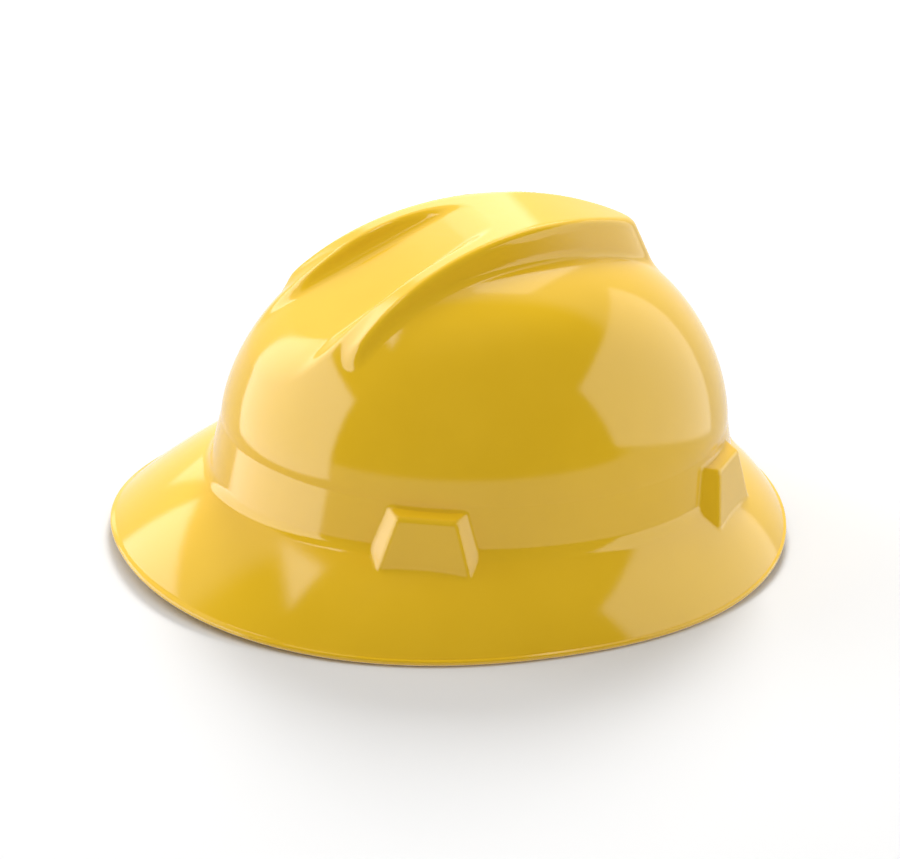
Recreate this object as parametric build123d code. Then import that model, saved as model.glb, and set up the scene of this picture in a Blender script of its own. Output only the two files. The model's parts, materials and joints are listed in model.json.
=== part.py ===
"""Full brim hard hat with a four point suspension and a ratchet headband.

Millimetres. +Z is up, the front of the hat is along -Y and the wearer's left is along +X.
The origin is the bottom centre of the hat: the low sides of the brim stand at Z 0.
A turn is an angle seen from above, 0 at the front, 90 at the wearer's left, 180 at the rear.
"""
from build123d import *
from math import copysign, cos, degrees, hypot, pi, radians, sin, sqrt, tan
import os

# Brim
brim_half_width = 138.0
brim_front_reach = 169.5
brim_rear_reach = 157.0
brim_outline_power = 2.14
brim_front_lift = 4.5
brim_rear_lift = 7.4
brim_lift_power = 4
brim_bulge = 1.8
brim_root_depth = 5.5
brim_root_round = 3.2
brim_root_bite = 0.4
brim_root_lip = 0.5
brim_step = 15
rim_radius = 1.5
root_round_share = 0.48

# Crown of the shell
wall = 2.5
crown_half_width = 105.0
crown_front_length = 128.0
crown_rear_length = 116.5
crown_setback = 9.5
belt_top_z = 59.0
belt_height = 24.0
belt_flare = 4.2
junction_front_z = 33.5
junction_side_z = 35.5
junction_rear_z = 32.5
dome_height = 86.5
dome_width_power = 2.72
dome_height_power = 1.6
dome_steps = 12

# Crest on top of the crown, two arms that meet in a blunt nose
crest_height = 99.5
crest_length = 124.0
crest_setback = 15.25
crest_root_rise = 36.0
crest_half_width = 36.0
crest_nose_length = 148.0
crest_wide_ahead = 81.75
crest_front_extra = 6.0
crest_power = 1.75
crest_side_draft = 15.0
crest_nose_draft = 27.0
crest_edge_round = 2.2
crest_steps = 12
valley_rear_ahead = 9.5
valley_rear_half_width = 21.0
valley_rear_z = 158.4
valley_length = 118.0
valley_splay = 14.0
valley_slope = 29.2
valley_mouth_round = 15.0

# Key bosses on the belt, with a pocket open to the underside of the brim
key_turns = {"front_left": 60.0, "front_right": -60.0, "rear_left": 138.0, "rear_right": -138.0}
boss_reach = 6.0
boss_root = 7.0
boss_height = 21.5
boss_foot_half_width = 24.0
boss_top_half_width = 16.8
boss_side_bevel = 4.5
boss_top_bevel = 2.5
pocket_inner = 0.3
pocket_depth = 3.7
pocket_height = 15.5
pocket_foot_half_width = 16.0
pocket_top_half_width = 11.5
pocket_mouth = 22.0

# Suspension keys
key_clearance = 0.3
key_thickness = 2.8
key_wall_gap = 3.0
key_half_width = 14.6
key_top = 24.0
key_corner = 4.0
bridge_gap = 1.3
bar_radius = 2.0
bar_z = 54.0
bar_inset = 16.5
cheek_thickness = 3.0
cheek_radius = 3.6
cheek_gap = 1.0
peg_radius = 3.0
peg_z = 42.0
peg_head_radius = 4.8
peg_head_thickness = 1.6
peg_head_gap = 1.2

# Crown straps
strap_width = 20.0
strap_thickness = 1.6
strap_apex_z = 112.0
strap_gap = 0.9
loop_clearance = 0.3

# Headband, a circle at the rear and a half ellipse at the front
head_setback = 10.5
band_radius = 75.0
band_front_length = 117.0
band_thickness = 2.0
band_bottom_z = 12.0
band_top_z = 48.0
band_rear_strip_z = 36.5
band_lower_end = 48.0
band_upper_end = 28.0
guide_start = 50.0
guide_end = 56.0
guide_wall = 1.6
guide_slack = 0.3

# Sweatband and its studs
sweatband_thickness = 4.0
sweatband_bottom_z = 15.0
sweatband_top_z = 45.0
sweatband_turn = 40.0
sweatband_gap = 0.3
stud_radius = 2.0
stud_head_radius = 4.0
stud_head_thickness = 1.2
stud_turns = (-30.0, 0.0, 30.0)

# Ratchet at the nape: two toothed straps, a pinion between them and a knob behind
ratchet_z = 24.0
gear_module = 1.0
pinion_teeth = 12
tooth_share = 0.34
tooth_tip_share = 0.16
tooth_gap = 0.25
rack_gap = 0.3
rack_thickness = 1.8
rack_height = 21.0
rack_start = -28.5
rack_end = 75.0
rack_window = 25.5
rack_end_round = 3.0
housing_turn = 21.0
housing_wall = 3.0
housing_slack = 0.3
plate_thickness = 2.0
plate_gap = 0.1
journal_radius = 3.0
shaft_radius = 4.0
running_clearance = 0.05
nape_pad_turn = 24.0
nape_pad_thickness = 4.0
nape_pad_half_height = 14.0
nape_pad_gap = 0.3
ring_outer_radius = 15.2
ring_inner_radius = 12.6
ring_height = 3.2
detent_count = 24
detent_depth = 1.0
detent_gap = 0.35
spring_thickness = 1.6
spring_hub_radius = 6.4
spring_arm_width = 2.2
knob_radius = 18.5
knob_height = 11.5
knob_gap = 0.6
knob_skirt_gap = 0.7
knob_lobes = 16
knob_lobe_radius = 2.6
knob_lobe_depth = 1.1
knob_edge_round = 1.6
cap_radius = 8.0
cap_thickness = 1.4
screw_head_radius = 5.6
screw_head_height = 2.4
screw_radius = 1.5
screw_length = 14.0
fit_gap = 0.05
flat_share = 0.75
case_screw_radius = 0.8
case_screw_head_radius = 1.3
case_screw_head_height = 0.9
case_screw_length = 6.0
case_screw_turn = 17.0

# One length by which every cut runs past the surface that it opens
overrun = 4.0

widest_y = (brim_front_reach - brim_rear_reach) / 2
crown_y = widest_y + crown_setback
crown_centre = Vector(0, crown_y, 0)
head_y = crown_y + head_setback
head_centre = Vector(0, head_y, 0)
junctions = (junction_front_z, junction_side_z, junction_rear_z)
wall_foot_z = (min(junctions) + max(junctions) - brim_root_depth) / 2


def power_point(angle, power):
    """Point of a unit curve |x|^power + |y|^power = 1 at an angle in radians."""
    x, y = cos(angle), sin(angle)
    return copysign(abs(x) ** (2 / power), x), copysign(abs(y) ** (2 / power), y)


def face_of(*edges):
    """Flat face inside a closed row of edges."""
    return make_face(Curve() + list(edges))


def slab(face, low, high):
    """Face drawn in the XY plane, raised into a solid between two heights."""
    return Pos(0, 0, low) * extrude(face, high - low)


# Shell

def rim_point(turn):
    """Point of the brim's outline in plan."""
    along, across = power_point(radians(turn), brim_outline_power)
    reach = brim_front_reach if along > 0 else brim_rear_reach
    return Vector(brim_half_width * across, widest_y - reach * along, 0)


def rim_z(turn):
    """Height of the rim's lower edge."""
    along = cos(radians(turn))
    lift = brim_front_lift if along > 0 else brim_rear_lift
    return lift * abs(along) ** brim_lift_power


def junction_z(turn):
    """Height of the line where the brim leaves the belt."""
    along = cos(radians(turn))
    ends = (junction_front_z + junction_rear_z) / 2
    tilt = (junction_front_z - junction_rear_z) / 2
    return junction_side_z + tilt * along + (ends - junction_side_z) * along**2


def belt_scale(z):
    """Growth of the crown's outline from the belt's top down to a height."""
    return 1 + belt_flare / crown_half_width * (belt_top_z - z) / belt_height


def crown_reach(direction):
    """Distance from the crown's centre to the top line of the belt."""
    length = crown_front_length if direction.Y < 0 else crown_rear_length
    return 1 / hypot(direction.X / crown_half_width, direction.Y / length)


def brim_lines(turn):
    """Foot, rim centre, chord and normal of the brim's section, measured from the crown's centre."""
    out = rim_point(turn) - crown_centre
    direction = out.normalized()
    top = junction_z(turn)
    foot = Vector(crown_reach(direction) * belt_scale(top), top)
    centre = Vector(out.length - rim_radius, rim_z(turn) + rim_radius)
    chord = (centre - foot).normalized()
    normal = Vector(-chord.Y, chord.X)
    return direction, foot, centre, chord, normal


def brim_section(turn):
    """Section of the brim from its root in the belt wall to the rounded rim."""
    direction, foot, centre, chord, normal = brim_lines(turn)
    inner = foot.X - wall - brim_root_lip
    lip = Vector(inner, foot.Y)
    heel = Vector(inner, foot.Y - brim_root_depth)
    step = Vector(foot.X - brim_root_bite, foot.Y + brim_root_round)
    start = foot + chord * brim_root_round
    hollow = (step + start) / 2 + (foot - (step + start) / 2) * root_round_share
    upper = centre + normal * rim_radius
    lower = centre - normal * rim_radius
    edges = [
        Line(lip, step),
        ThreePointArc(step, hollow, start),
        ThreePointArc(start, (start + upper) / 2 + normal * brim_bulge, upper),
        ThreePointArc(upper, centre + chord * rim_radius, lower),
        ThreePointArc(lower, (lower + heel) / 2 + normal * brim_bulge, heel),
        Line(heel, lip),
    ]
    plane = Plane(crown_centre, x_dir=direction, z_dir=(direction.Y, -direction.X, 0))
    return plane * face_of(*edges)


def brim_ring():
    """Brim with its rounded rim, lofted round the wearer's left side and mirrored."""
    turns = range(0, 180 + brim_step, brim_step)
    left = loft([brim_section(turn) for turn in turns])
    return left + mirror(left, Plane.YZ)


def crown_outline(share, z, inset):
    """Level outline of the crown: a half ellipse in front of its centre and a shorter one behind."""
    across = (crown_half_width - inset) * share
    ahead = (crown_front_length - inset) * share
    behind = (crown_rear_length - inset) * share
    front = EllipticalCenterArc((0, 0), across, ahead, start_angle=180, arc_size=180)
    rear = EllipticalCenterArc((0, 0), across, behind, start_angle=0, arc_size=180)
    return Pos(0, crown_y, z) * face_of(front, rear)


def dome_body(inset, bottom):
    """Solid crown without its crest: a drafted belt and a dome that is lofted through level outlines."""
    levels = []
    for step in range(dome_steps):
        angle = pi / 2 * step / dome_steps
        height = (dome_height - inset) * sin(angle) ** (2 / dome_height_power)
        levels.append(crown_outline(cos(angle) ** (2 / dome_width_power), belt_top_z + height, inset))
    grown = belt_scale(bottom) + (belt_scale(bottom) - 1) * inset / (crown_half_width - inset)
    belt = loft([crown_outline(grown, bottom, inset), levels[0]], ruled=True)
    return belt + loft(levels)


def crest_outline(z, inset):
    """Plan outline of the crest at a height: straight sides that close in a blunt nose."""
    fall = belt_top_z + crest_height - z
    half = crest_half_width + fall * tan(radians(crest_side_draft)) - inset
    length = crest_nose_length + fall * tan(radians(crest_nose_draft)) - inset
    wide_y = crown_y - crest_wide_ahead
    front_y = wide_y - crest_front_extra
    points = []
    for step in range(crest_steps + 1):
        x, y = power_point(pi * step / crest_steps, crest_power)
        points.append((half * x, wide_y + length * y))
    outline = face_of(
        Spline(*points, tangents=[(0, 1), (0, -1)]),
        Line((-half, wide_y), (-half, front_y)),
        Line((-half, front_y), (half, front_y)),
        Line((half, front_y), (half, wide_y)),
    )
    return Pos(0, 0, z) * outline


def crest_body(inset):
    """Raised crest before its valley is cut."""
    root = belt_top_z + crest_root_rise
    top = belt_top_z + crest_height + overrun
    sides = loft([crest_outline(root, inset), crest_outline(top, inset)], ruled=True)
    side_view = Pos(crown_y + crest_setback, belt_top_z) * Ellipse(crest_length - inset, crest_height - inset)
    return sides & extrude(Plane.YZ * side_view, crown_half_width, both=True)


def valley_cut(inset):
    """Tool for the valley between the arms: a sloping flat floor and splayed walls."""
    slope = radians(valley_slope)
    rear = Vector(crown_y - valley_rear_ahead, valley_rear_z - inset / cos(slope))
    forward = Vector(-cos(slope), -sin(slope))
    near = rear - forward * valley_length / 2
    far = rear + forward * valley_length * 3 / 2
    ceiling = belt_top_z + crest_height + dome_height
    side = Polyline(near, far, (far.X, ceiling), (near.X, ceiling), close=True)
    spread = tan(radians(valley_splay))
    near_half = valley_rear_half_width + inset - (near.X - rear.X) * spread
    far_half = valley_rear_half_width + inset + (rear.X - far.X) * spread
    corners = [(near_half, near.X), (far_half, far.X), (-far_half, far.X), (-near_half, near.X)]
    plan = make_face(Polyline(*corners, close=True))
    return extrude(Plane.YZ * make_face(side), crown_half_width, both=True) & slab(plan, 0, ceiling)


def belt_frame(turn):
    """Frame on the belt wall: local x along the wall, y up the wall, z outward, origin at the brim."""
    z = junction_z(turn)
    angle = radians(turn)
    length = crown_front_length if cos(angle) > 0 else crown_rear_length
    across = crown_half_width * sin(angle)
    along = -length * cos(angle)
    grown = belt_scale(z)
    point = Vector(across * grown, crown_y + along * grown, z)
    normal = Vector(sin(angle) / crown_half_width, -cos(angle) / length, 0).normalized()
    lean = Vector(across, along, 0).dot(normal) * belt_flare / crown_half_width / belt_height
    outward = (normal + Vector(0, 0, lean)).normalized()
    wallward = Vector(-normal.Y, normal.X, 0)
    return Plane(point, x_dir=wallward, z_dir=outward), normal


def trapezoid(foot_half, top_half, foot, top):
    """Upright trapezoid in a plane."""
    return Polyline((-foot_half, foot), (foot_half, foot), (top_half, top), (-top_half, top), close=True)


def brim_fall(turn):
    """Drop of the brim for each unit outward."""
    chord = brim_lines(turn)[3]
    return -chord.Y / chord.X


def key_boss(turn):
    """Tapered boss on the belt that holds a key pocket."""
    frame, _ = belt_frame(turn)
    spread = boss_side_bevel / boss_reach
    rise = boss_top_bevel / boss_reach
    foot = -brim_root_depth / 2
    face_foot = -boss_reach * brim_fall(turn) - wall / 2
    root = trapezoid(
        boss_foot_half_width + boss_root * spread, boss_top_half_width + boss_root * spread,
        foot, boss_height + boss_root * rise)
    face = trapezoid(
        boss_foot_half_width - boss_side_bevel, boss_top_half_width - boss_side_bevel,
        face_foot, boss_height - boss_top_bevel)
    inner = Pos(0, 0, -boss_root) * make_face(root)
    outer = Pos(0, 0, boss_reach) * make_face(face)
    return loft([frame * inner, frame * outer], ruled=True)


def pocket_half_width(height, clearance):
    """Half width of the key pocket at a height up the wall."""
    share = height / pocket_height
    return pocket_foot_half_width + (pocket_top_half_width - pocket_foot_half_width) * share - clearance


def pocket_tool(turn, low, clearance):
    """Space of a key pocket, or with a clearance the leg that fills it."""
    frame, _ = belt_frame(turn)
    top = pocket_height - clearance
    shape = trapezoid(pocket_half_width(low, clearance), pocket_half_width(top, clearance), low, top)
    return frame * slab(make_face(shape), pocket_inner + clearance, pocket_inner + pocket_depth - clearance)


def crest_rims(crest):
    """Edges along the tops of the crest's walls and at the fronts of its two arms."""
    low = belt_top_z + crest_root_rise + crest_edge_round
    front_y = crown_y - crest_wide_ahead - crest_front_extra
    rims = []
    for edge in crest.edges():
        box = edge.bounding_box()
        along = min(box.size.X, box.size.Y) > crest_edge_round and edge.geom_type != GeomType.LINE
        upright = box.size.Z > crest_edge_round and box.max.Y < front_y + crest_edge_round
        beside = abs(edge.center().X) > crest_edge_round
        if box.max.Z > low and (along or upright) and beside:
            rims.append(edge)
    return rims


def valley_mouth(dome):
    """Edges where the valley's floor runs out through the front of the dome."""
    slope = radians(valley_slope)
    up = Vector(0, -sin(slope), cos(slope))
    floor = max(dome.faces().filter_by(GeomType.PLANE), key=lambda face: face.normal_at().dot(up))
    ahead = [edge for edge in floor.edges() if edge.center().Y < floor.center().Y]
    curves = dome.edges().filter_by(GeomType.LINE, reverse=True)
    return [edge for edge in curves if any(edge.is_same(other) for other in ahead)]


def crown_body(inset, bottom, rounded):
    """Solid crown with its crest and the valley between the arms."""
    valley = valley_cut(inset)
    dome = dome_body(inset, bottom) - valley
    crest = crest_body(inset) - valley
    if rounded:
        dome = fillet(valley_mouth(dome), valley_mouth_round)
        crest = fillet(crest_rims(crest), crest_edge_round)
    return dome + crest


def shell():
    """Moulded shell: crown with crest and key bosses, hollowed, with the brim round it."""
    outer = crown_body(0, wall_foot_z, rounded=True)
    for turn in key_turns.values():
        outer += key_boss(turn)
    body = outer - crown_body(wall, wall_foot_z - overrun, rounded=False) + brim_ring()
    for turn in key_turns.values():
        body -= pocket_tool(turn, -pocket_mouth, 0)
    return body


# Places that the suspension shares

def height_on_wall(frame, z, out):
    """Local height in a belt frame of a point at a world height, some way outward."""
    return (z - frame.origin.Z - out * frame.z_dir.Z) / frame.y_dir.Z


def place(frame, along, up, out):
    """World point of a place in a belt frame."""
    return frame.origin + frame.x_dir * along + frame.y_dir * up + frame.z_dir * out


def bar_point(name):
    """Middle of a key's strap bar."""
    frame, _ = belt_frame(key_turns[name])
    return place(frame, 0, height_on_wall(frame, bar_z, -bar_inset), -bar_inset)


def strap_plane(front, rear):
    """Upright plane of a crown strap, its origin under the crossing, and its two half spans."""
    start, end = bar_point(front), bar_point(rear)
    share = start.X / (start.X - end.X)
    middle = start + (end - start) * share
    flat = Vector(end.X - start.X, end.Y - start.Y, 0)
    run = flat.normalized()
    plane = Plane((middle.X, middle.Y, 0), x_dir=run, z_dir=(run.Y, -run.X, 0))
    return plane, flat.length * share, flat.length * (1 - share)


strap_ends = {
    "left_to_right_strap": ("front_left", "rear_right"),
    "right_to_left_strap": ("front_right", "rear_left"),
}


def strap_plane_of(name):
    """Plane of the crown strap that a key carries."""
    for front, rear in strap_ends.values():
        if name in (front, rear):
            return strap_plane(front, rear)[0]


def head_point(turn, radius):
    """Point round the head's centre at an angle from the rear toward the wearer's left."""
    angle = radians(turn)
    return head_centre + Vector(sin(angle), cos(angle), 0) * radius


def sector(start, end):
    """Wedge in plan from the head's centre, between two angles from the rear."""
    far = 2 * band_front_length
    points = [head_point(start + (end - start) * share, far) for share in (0, 1 / 4, 1 / 2, 3 / 4, 1)]
    outline = [head_centre] + points
    return make_face(Polyline(*[(point.X, point.Y) for point in outline], close=True))


def ring_face(inner, outer):
    """Round band in plan about the head's centre."""
    return Pos(0, head_y) * (Circle(outer) - Circle(inner))


def arc_wall(inner, outer, start, end, low, high):
    """Curved wall about the head's centre."""
    return slab(ring_face(inner, outer) & sector(start, end), low, high)


def head_outline(offset):
    """Plan face inside the headband's middle line, moved outward by an offset."""
    radius = band_radius + offset
    rear = EllipticalCenterArc((0, 0), radius, radius, start_angle=0, arc_size=180)
    front = EllipticalCenterArc((0, 0), radius, band_front_length + offset, start_angle=180, arc_size=180)
    return Pos(0, head_y) * face_of(rear, front)


def head_distance(point, direction, offset):
    """Distance from a point along a level direction to the headband's line, moved by an offset."""
    across = band_radius + offset
    length = band_front_length + offset if point.Y < head_y else across
    x, y = point.X / across, (point.Y - head_y) / length
    dx, dy = direction.X / across, direction.Y / length
    square, half, rest = dx * dx + dy * dy, x * dx + y * dy, x * x + y * y - 1
    return (-half - sqrt(half * half - square * rest)) / square


# Suspension keys

leg_face = -(wall + key_wall_gap)
leg_back = leg_face - key_thickness


def peg_line(name):
    """Start and direction of a key's peg, and its distances to the two faces of the headband."""
    frame, normal = belt_frame(key_turns[name])
    out = (leg_face + leg_back) / 2
    start = place(frame, 0, height_on_wall(frame, peg_z, out), out)
    direction = -normal
    near = head_distance(start, direction, band_thickness / 2)
    far = head_distance(start, direction, -band_thickness / 2)
    return start, direction, near, far


def rod(start, direction, low, high, radius):
    """Round rod along a direction between two distances from its start."""
    return Plane(start, z_dir=direction) * slab(Circle(radius), low, high)


def upright(frame, half_width, foot, top, inner, outer):
    """Plate in a belt frame, with its upper corners rounded."""
    face = make_face(trapezoid(half_width, half_width, foot, top))
    face = fillet(face.vertices().sort_by(Axis.Y)[-2:], key_corner)
    return frame * slab(face, inner, outer)


def suspension_key(name):
    """Moulded key: a leg in the shell's pocket, one inside the wall, a strap bar and a headband peg."""
    turn = key_turns[name]
    frame, _ = belt_frame(turn)
    bridge_top = -(brim_root_depth + (wall + brim_root_lip + pocket_inner) * brim_fall(turn) + bridge_gap)
    bridge_foot = bridge_top - key_thickness
    pocket_outer = pocket_inner + pocket_depth - key_clearance
    bridge = trapezoid(key_half_width, key_half_width, bridge_foot, bridge_top)
    body = upright(frame, key_half_width, bridge_foot, key_top, leg_back, leg_face)
    body += frame * slab(make_face(bridge), leg_back, pocket_outer)
    body += pocket_tool(turn, bridge_foot, key_clearance)

    along = strap_plane_of(name).z_dir
    middle = bar_point(name)
    ends = []
    for side in (-1, 1):
        across = side * (strap_width / 2 + cheek_gap + cheek_thickness / 2)
        end = middle + along * (across / along.dot(frame.x_dir))
        ends.append(end)
        offset = end - frame.origin
        cheek_plane = Plane(frame.origin, x_dir=frame.y_dir, z_dir=frame.x_dir)
        up, out = offset.dot(frame.y_dir), offset.dot(frame.z_dir)
        root = (leg_face + leg_back) / 2
        web = Pos(up, (out + root) / 2) * Rectangle(2 * cheek_radius, abs(root - out))
        low = across - cheek_thickness / 2
        body += cheek_plane * slab(web + Pos(up, out) * Circle(cheek_radius), low, low + cheek_thickness)
    body += rod(ends[0], ends[1] - ends[0], 0, (ends[1] - ends[0]).length, bar_radius)

    start, direction, _, far = peg_line(name)
    head = far + peg_head_gap
    body += rod(start, direction, 0, head, peg_radius)
    body += rod(start, direction, head, head + peg_head_thickness, peg_head_radius)
    return body


# Crown straps

def crown_strap(name):
    """Webbing strap over the head, looped round a bar at each end."""
    plane, front_span, rear_span = strap_plane(*strap_ends[name])
    lift = strap_thickness + strap_gap if name == "right_to_left_strap" else 0
    top = strap_apex_z + lift - bar_z
    half = strap_thickness / 2
    edges = []
    for offset in (half, -half):
        for span, start in ((rear_span, 0), (front_span, 90)):
            across, up = span + offset, top + offset
            edges.append(EllipticalCenterArc((0, 0), across, up, start_angle=start, arc_size=90))
    feet = [
        Line((rear_span - half, 0), (rear_span + half, 0)),
        Line((-front_span - half, 0), (-front_span + half, 0)),
    ]
    hole = bar_radius + loop_clearance
    profile = face_of(*edges, *feet)
    for x in (-front_span, rear_span):
        profile += Pos(x, 0) * Circle(hole + strap_thickness)
    for x in (-front_span, rear_span):
        profile -= Pos(x, 0) * Circle(hole)
    return extrude(plane * Pos(0, bar_z) * profile, strap_width / 2, both=True)


# Headband with its guide loops and peg holes

rack_inner = {
    "left_rack_strap": band_radius + band_thickness / 2 + rack_gap,
    "right_rack_strap": band_radius + band_thickness / 2 + rack_gap + rack_thickness + rack_gap,
}
rack_side = {"left_rack_strap": 1, "right_rack_strap": -1}


def headband():
    """Band round the head, open at the nape, with a loop each side for the toothed straps."""
    face = head_outline(band_thickness / 2) - head_outline(-band_thickness / 2)
    band = slab(face, band_bottom_z, band_top_z)
    band -= slab(sector(-band_lower_end, band_lower_end), 0, band_rear_strip_z)
    band -= slab(sector(-band_upper_end, band_upper_end), 0, band_top_z + overrun)
    outside = band_radius + band_thickness / 2
    for name, side in rack_side.items():
        start, end = sorted((side * guide_start, side * guide_end))
        room = rack_inner[name] + rack_thickness + guide_slack
        half = rack_height / 2 + guide_slack
        low, high = ratchet_z - half, ratchet_z + half
        loop = arc_wall(band_radius, room + guide_wall, start, end, low - guide_wall, high + guide_wall)
        band += loop - arc_wall(outside, room, start - overrun, end + overrun, low, high)
    for name in key_turns:
        origin, direction, _, far = peg_line(name)
        band -= rod(origin, direction, 0, far + overrun, peg_radius + key_clearance)
    for turn in stud_turns:
        point, normal = stud_line(turn)
        band -= rod(point, normal, -overrun, overrun, stud_radius + fit_gap)
    return band


def stud_line(turn):
    """Point on the headband's middle line at the front, and the level normal there."""
    direction = Vector(sin(radians(turn)), -cos(radians(turn)), 0)
    reach = 1 / hypot(direction.X / band_radius, direction.Y / band_front_length)
    flat = direction * reach
    normal = Vector(flat.X / band_radius**2, flat.Y / band_front_length**2, 0).normalized()
    middle = (sweatband_bottom_z + sweatband_top_z) / 2
    return head_centre + flat + Vector(0, 0, middle), normal


def sweatband():
    """Padded strip inside the front of the headband."""
    outer = -band_thickness / 2 - sweatband_gap
    face = head_outline(outer) - head_outline(outer - sweatband_thickness)
    front = sector(180 - sweatband_turn, 180 + sweatband_turn)
    pad = slab(face & front, sweatband_bottom_z, sweatband_top_z)
    for turn in stud_turns:
        point, normal = stud_line(turn)
        pad -= rod(point, -normal, 0, stud_depth + key_clearance, stud_radius + key_clearance)
    return pad


stud_depth = band_thickness / 2 + sweatband_gap + sweatband_thickness / 2


def sweatband_studs():
    """Push studs that hold the sweatband to the headband."""
    studs = []
    for turn in stud_turns:
        point, normal = stud_line(turn)
        seat = band_thickness / 2 + sweatband_gap
        stud = rod(point, normal, -stud_depth, seat, stud_radius)
        studs.append(stud + rod(point, normal, seat, seat + stud_head_thickness, stud_head_radius))
    return studs[0] + studs[1] + studs[2]


# Ratchet

pitch = pi * gear_module
pitch_radius = gear_module * pinion_teeth / 2
nape = head_centre + Vector(0, 0, ratchet_z)
backward = Vector(0, 1, 0)
nape_plane = Plane(nape, x_dir=(1, 0, 0), z_dir=(0, -1, 0))
case_inner = band_radius + band_thickness / 2 + plate_gap
case_room = rack_inner["right_rack_strap"] + rack_thickness + housing_slack
case_outer = case_room + housing_wall
case_half_room = rack_height / 2 + housing_slack
case_half_height = case_half_room + housing_wall
plate_inner = band_radius - band_thickness / 2


def tooth_width(height):
    """Width of a tooth at a height above the pitch line."""
    return pitch * (tooth_share - (tooth_share - tooth_tip_share) * height / gear_module)


def rack_strap(name):
    """Toothed strap: a slot with teeth along one edge, in mesh with the pinion."""
    inner = rack_inner[name]
    outer = inner + rack_thickness
    side = rack_side[name]
    start, end = sorted((side * rack_start, side * rack_end))
    half = rack_height / 2
    strap = arc_wall(inner, outer, start, end, ratchet_z - half, ratchet_z + half)
    corners = strap.edges().filter_by(GeomType.LINE).filter_by(Axis.Z, reverse=True)
    strap = fillet(corners, rack_end_round)
    tip = pitch_radius - gear_module
    root = pitch_radius + gear_module + tooth_gap
    low, high = sorted((ratchet_z - side * root, ratchet_z + side * tip))
    strap -= arc_wall(inner - overrun, outer + overrun, -rack_window, rack_window, low, high)
    middle = (inner + outer) / 2
    turn = degrees(pitch / middle)
    count = int(rack_window / turn)
    wide = (pitch - tooth_width(gear_module)) / 2
    narrow = (pitch - tooth_width(pitch_radius - root)) / 2
    inside = tip - tooth_gap
    shape = Polyline(
        (-wide, side * inside), (wide, side * inside), (wide, side * tip), (narrow, side * root),
        (-narrow, side * root), (-wide, side * tip), close=True)
    notch = nape_plane * slab(make_face(shape), -outer - overrun, -inner + overrun)
    spin = Axis((0, head_y, 0), (0, 0, 1))
    return strap - [notch.rotate(spin, turn * step) for step in range(-count, count + 1)]


def pinion():
    """Gear on a shaft: a journal in the back plate, teeth between the straps, a flatted end for the knob."""
    points = []
    for tooth in range(pinion_teeth):
        middle = 2 * pi * tooth / pinion_teeth + pi / 2
        for height, sign in ((-1, -1), (1, -1), (1, 1), (-1, 1)):
            height *= gear_module + (0 if height > 0 else tooth_gap)
            radius = pitch_radius + height - (tooth_gap if height > 0 else 0)
            angle = middle + sign * tooth_width(height) / 2 / pitch_radius
            points.append((radius * cos(angle), radius * sin(angle)))
    gear = make_face(Polyline(*points, close=True))
    body = nape_plane * slab(gear, -gear_end, -gear_start)
    body += rod(nape, backward, plate_inner + key_clearance, gear_start, journal_radius)
    body += rod(nape, backward, gear_end, knob_floor, shaft_radius)
    body += shaft_end(shaft_radius, knob_floor, screw_seat)
    return body - rod(nape, backward, screw_seat - screw_length - key_clearance, screw_seat, screw_radius + fit_gap)


def shaft_end(radius, low, high):
    """Round bar with one flat side, for a shaft end or the hole that takes it."""
    flat = Pos(0, radius * flat_share - radius) * Rectangle(2 * radius, 2 * radius)
    return nape_plane * slab(Circle(radius) & flat, -high, -low)


gear_start = case_inner + rack_gap
gear_end = case_room - 2 * housing_slack
ring_top = case_outer + ring_height
knob_start = case_outer + knob_gap
knob_floor = ring_top + knob_gap
knob_end = knob_start + knob_height
screw_top = knob_end - cap_thickness - fit_gap
screw_seat = screw_top - screw_head_height


def ratchet_housing():
    """Curved case round the toothed straps, with the detent ring on its outside."""
    low, high = ratchet_z - case_half_height, ratchet_z + case_half_height
    case = arc_wall(case_inner, case_outer, -housing_turn, housing_turn, low, high)
    case += rod(nape, backward, (case_room + case_outer) / 2, ring_top, ring_outer_radius)
    case -= rod(nape, backward, case_outer, ring_top + overrun, ring_inner_radius)
    wide = housing_turn + overrun
    floor, ceiling = ratchet_z - case_half_room, ratchet_z + case_half_room
    case -= arc_wall(case_inner - overrun, case_room, -wide, wide, floor, ceiling)
    case -= rod(nape, backward, case_room - overrun, ring_top, shaft_radius + running_clearance)
    notch = Pos(ring_inner_radius, 0) * RegularPolygon(detent_depth, 4)
    notches = [
        nape_plane * Rot(0, 0, 360 * step / detent_count) * slab(notch, -ring_top - overrun, -case_outer)
        for step in range(detent_count)]
    return case - notches - case_screw_holes(case_inner - overrun)


def case_screw_places():
    """Starts of the case screws on the back plate's inner face, with their directions."""
    height = (case_half_room + case_half_height) / 2
    for turn in (-case_screw_turn, case_screw_turn):
        for side in (-1, 1):
            point = head_point(turn, plate_inner) + Vector(0, 0, ratchet_z + side * height)
            yield point, (point - nape - Vector(0, 0, side * height)).normalized()


def case_screw_holes(start):
    """Holes for the case screws from a radius outward."""
    return [
        rod(point, direction, start - plate_inner, case_screw_length + key_clearance, case_screw_radius + fit_gap)
        for point, direction in case_screw_places()]


def back_plate():
    """Curved plate that closes the housing on the head's side and carries the pinion's journal."""
    low, high = ratchet_z - case_half_height, ratchet_z + case_half_height
    plate = arc_wall(plate_inner, plate_inner + plate_thickness, -housing_turn, housing_turn, low, high)
    plate -= rod(nape, backward, plate_inner - overrun, case_inner, journal_radius + running_clearance)
    heads = [
        rod(point, direction, -overrun, case_screw_head_height + fit_gap, case_screw_head_radius + fit_gap)
        for point, direction in case_screw_places()]
    return plate - case_screw_holes(plate_inner - overrun) - heads


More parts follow.
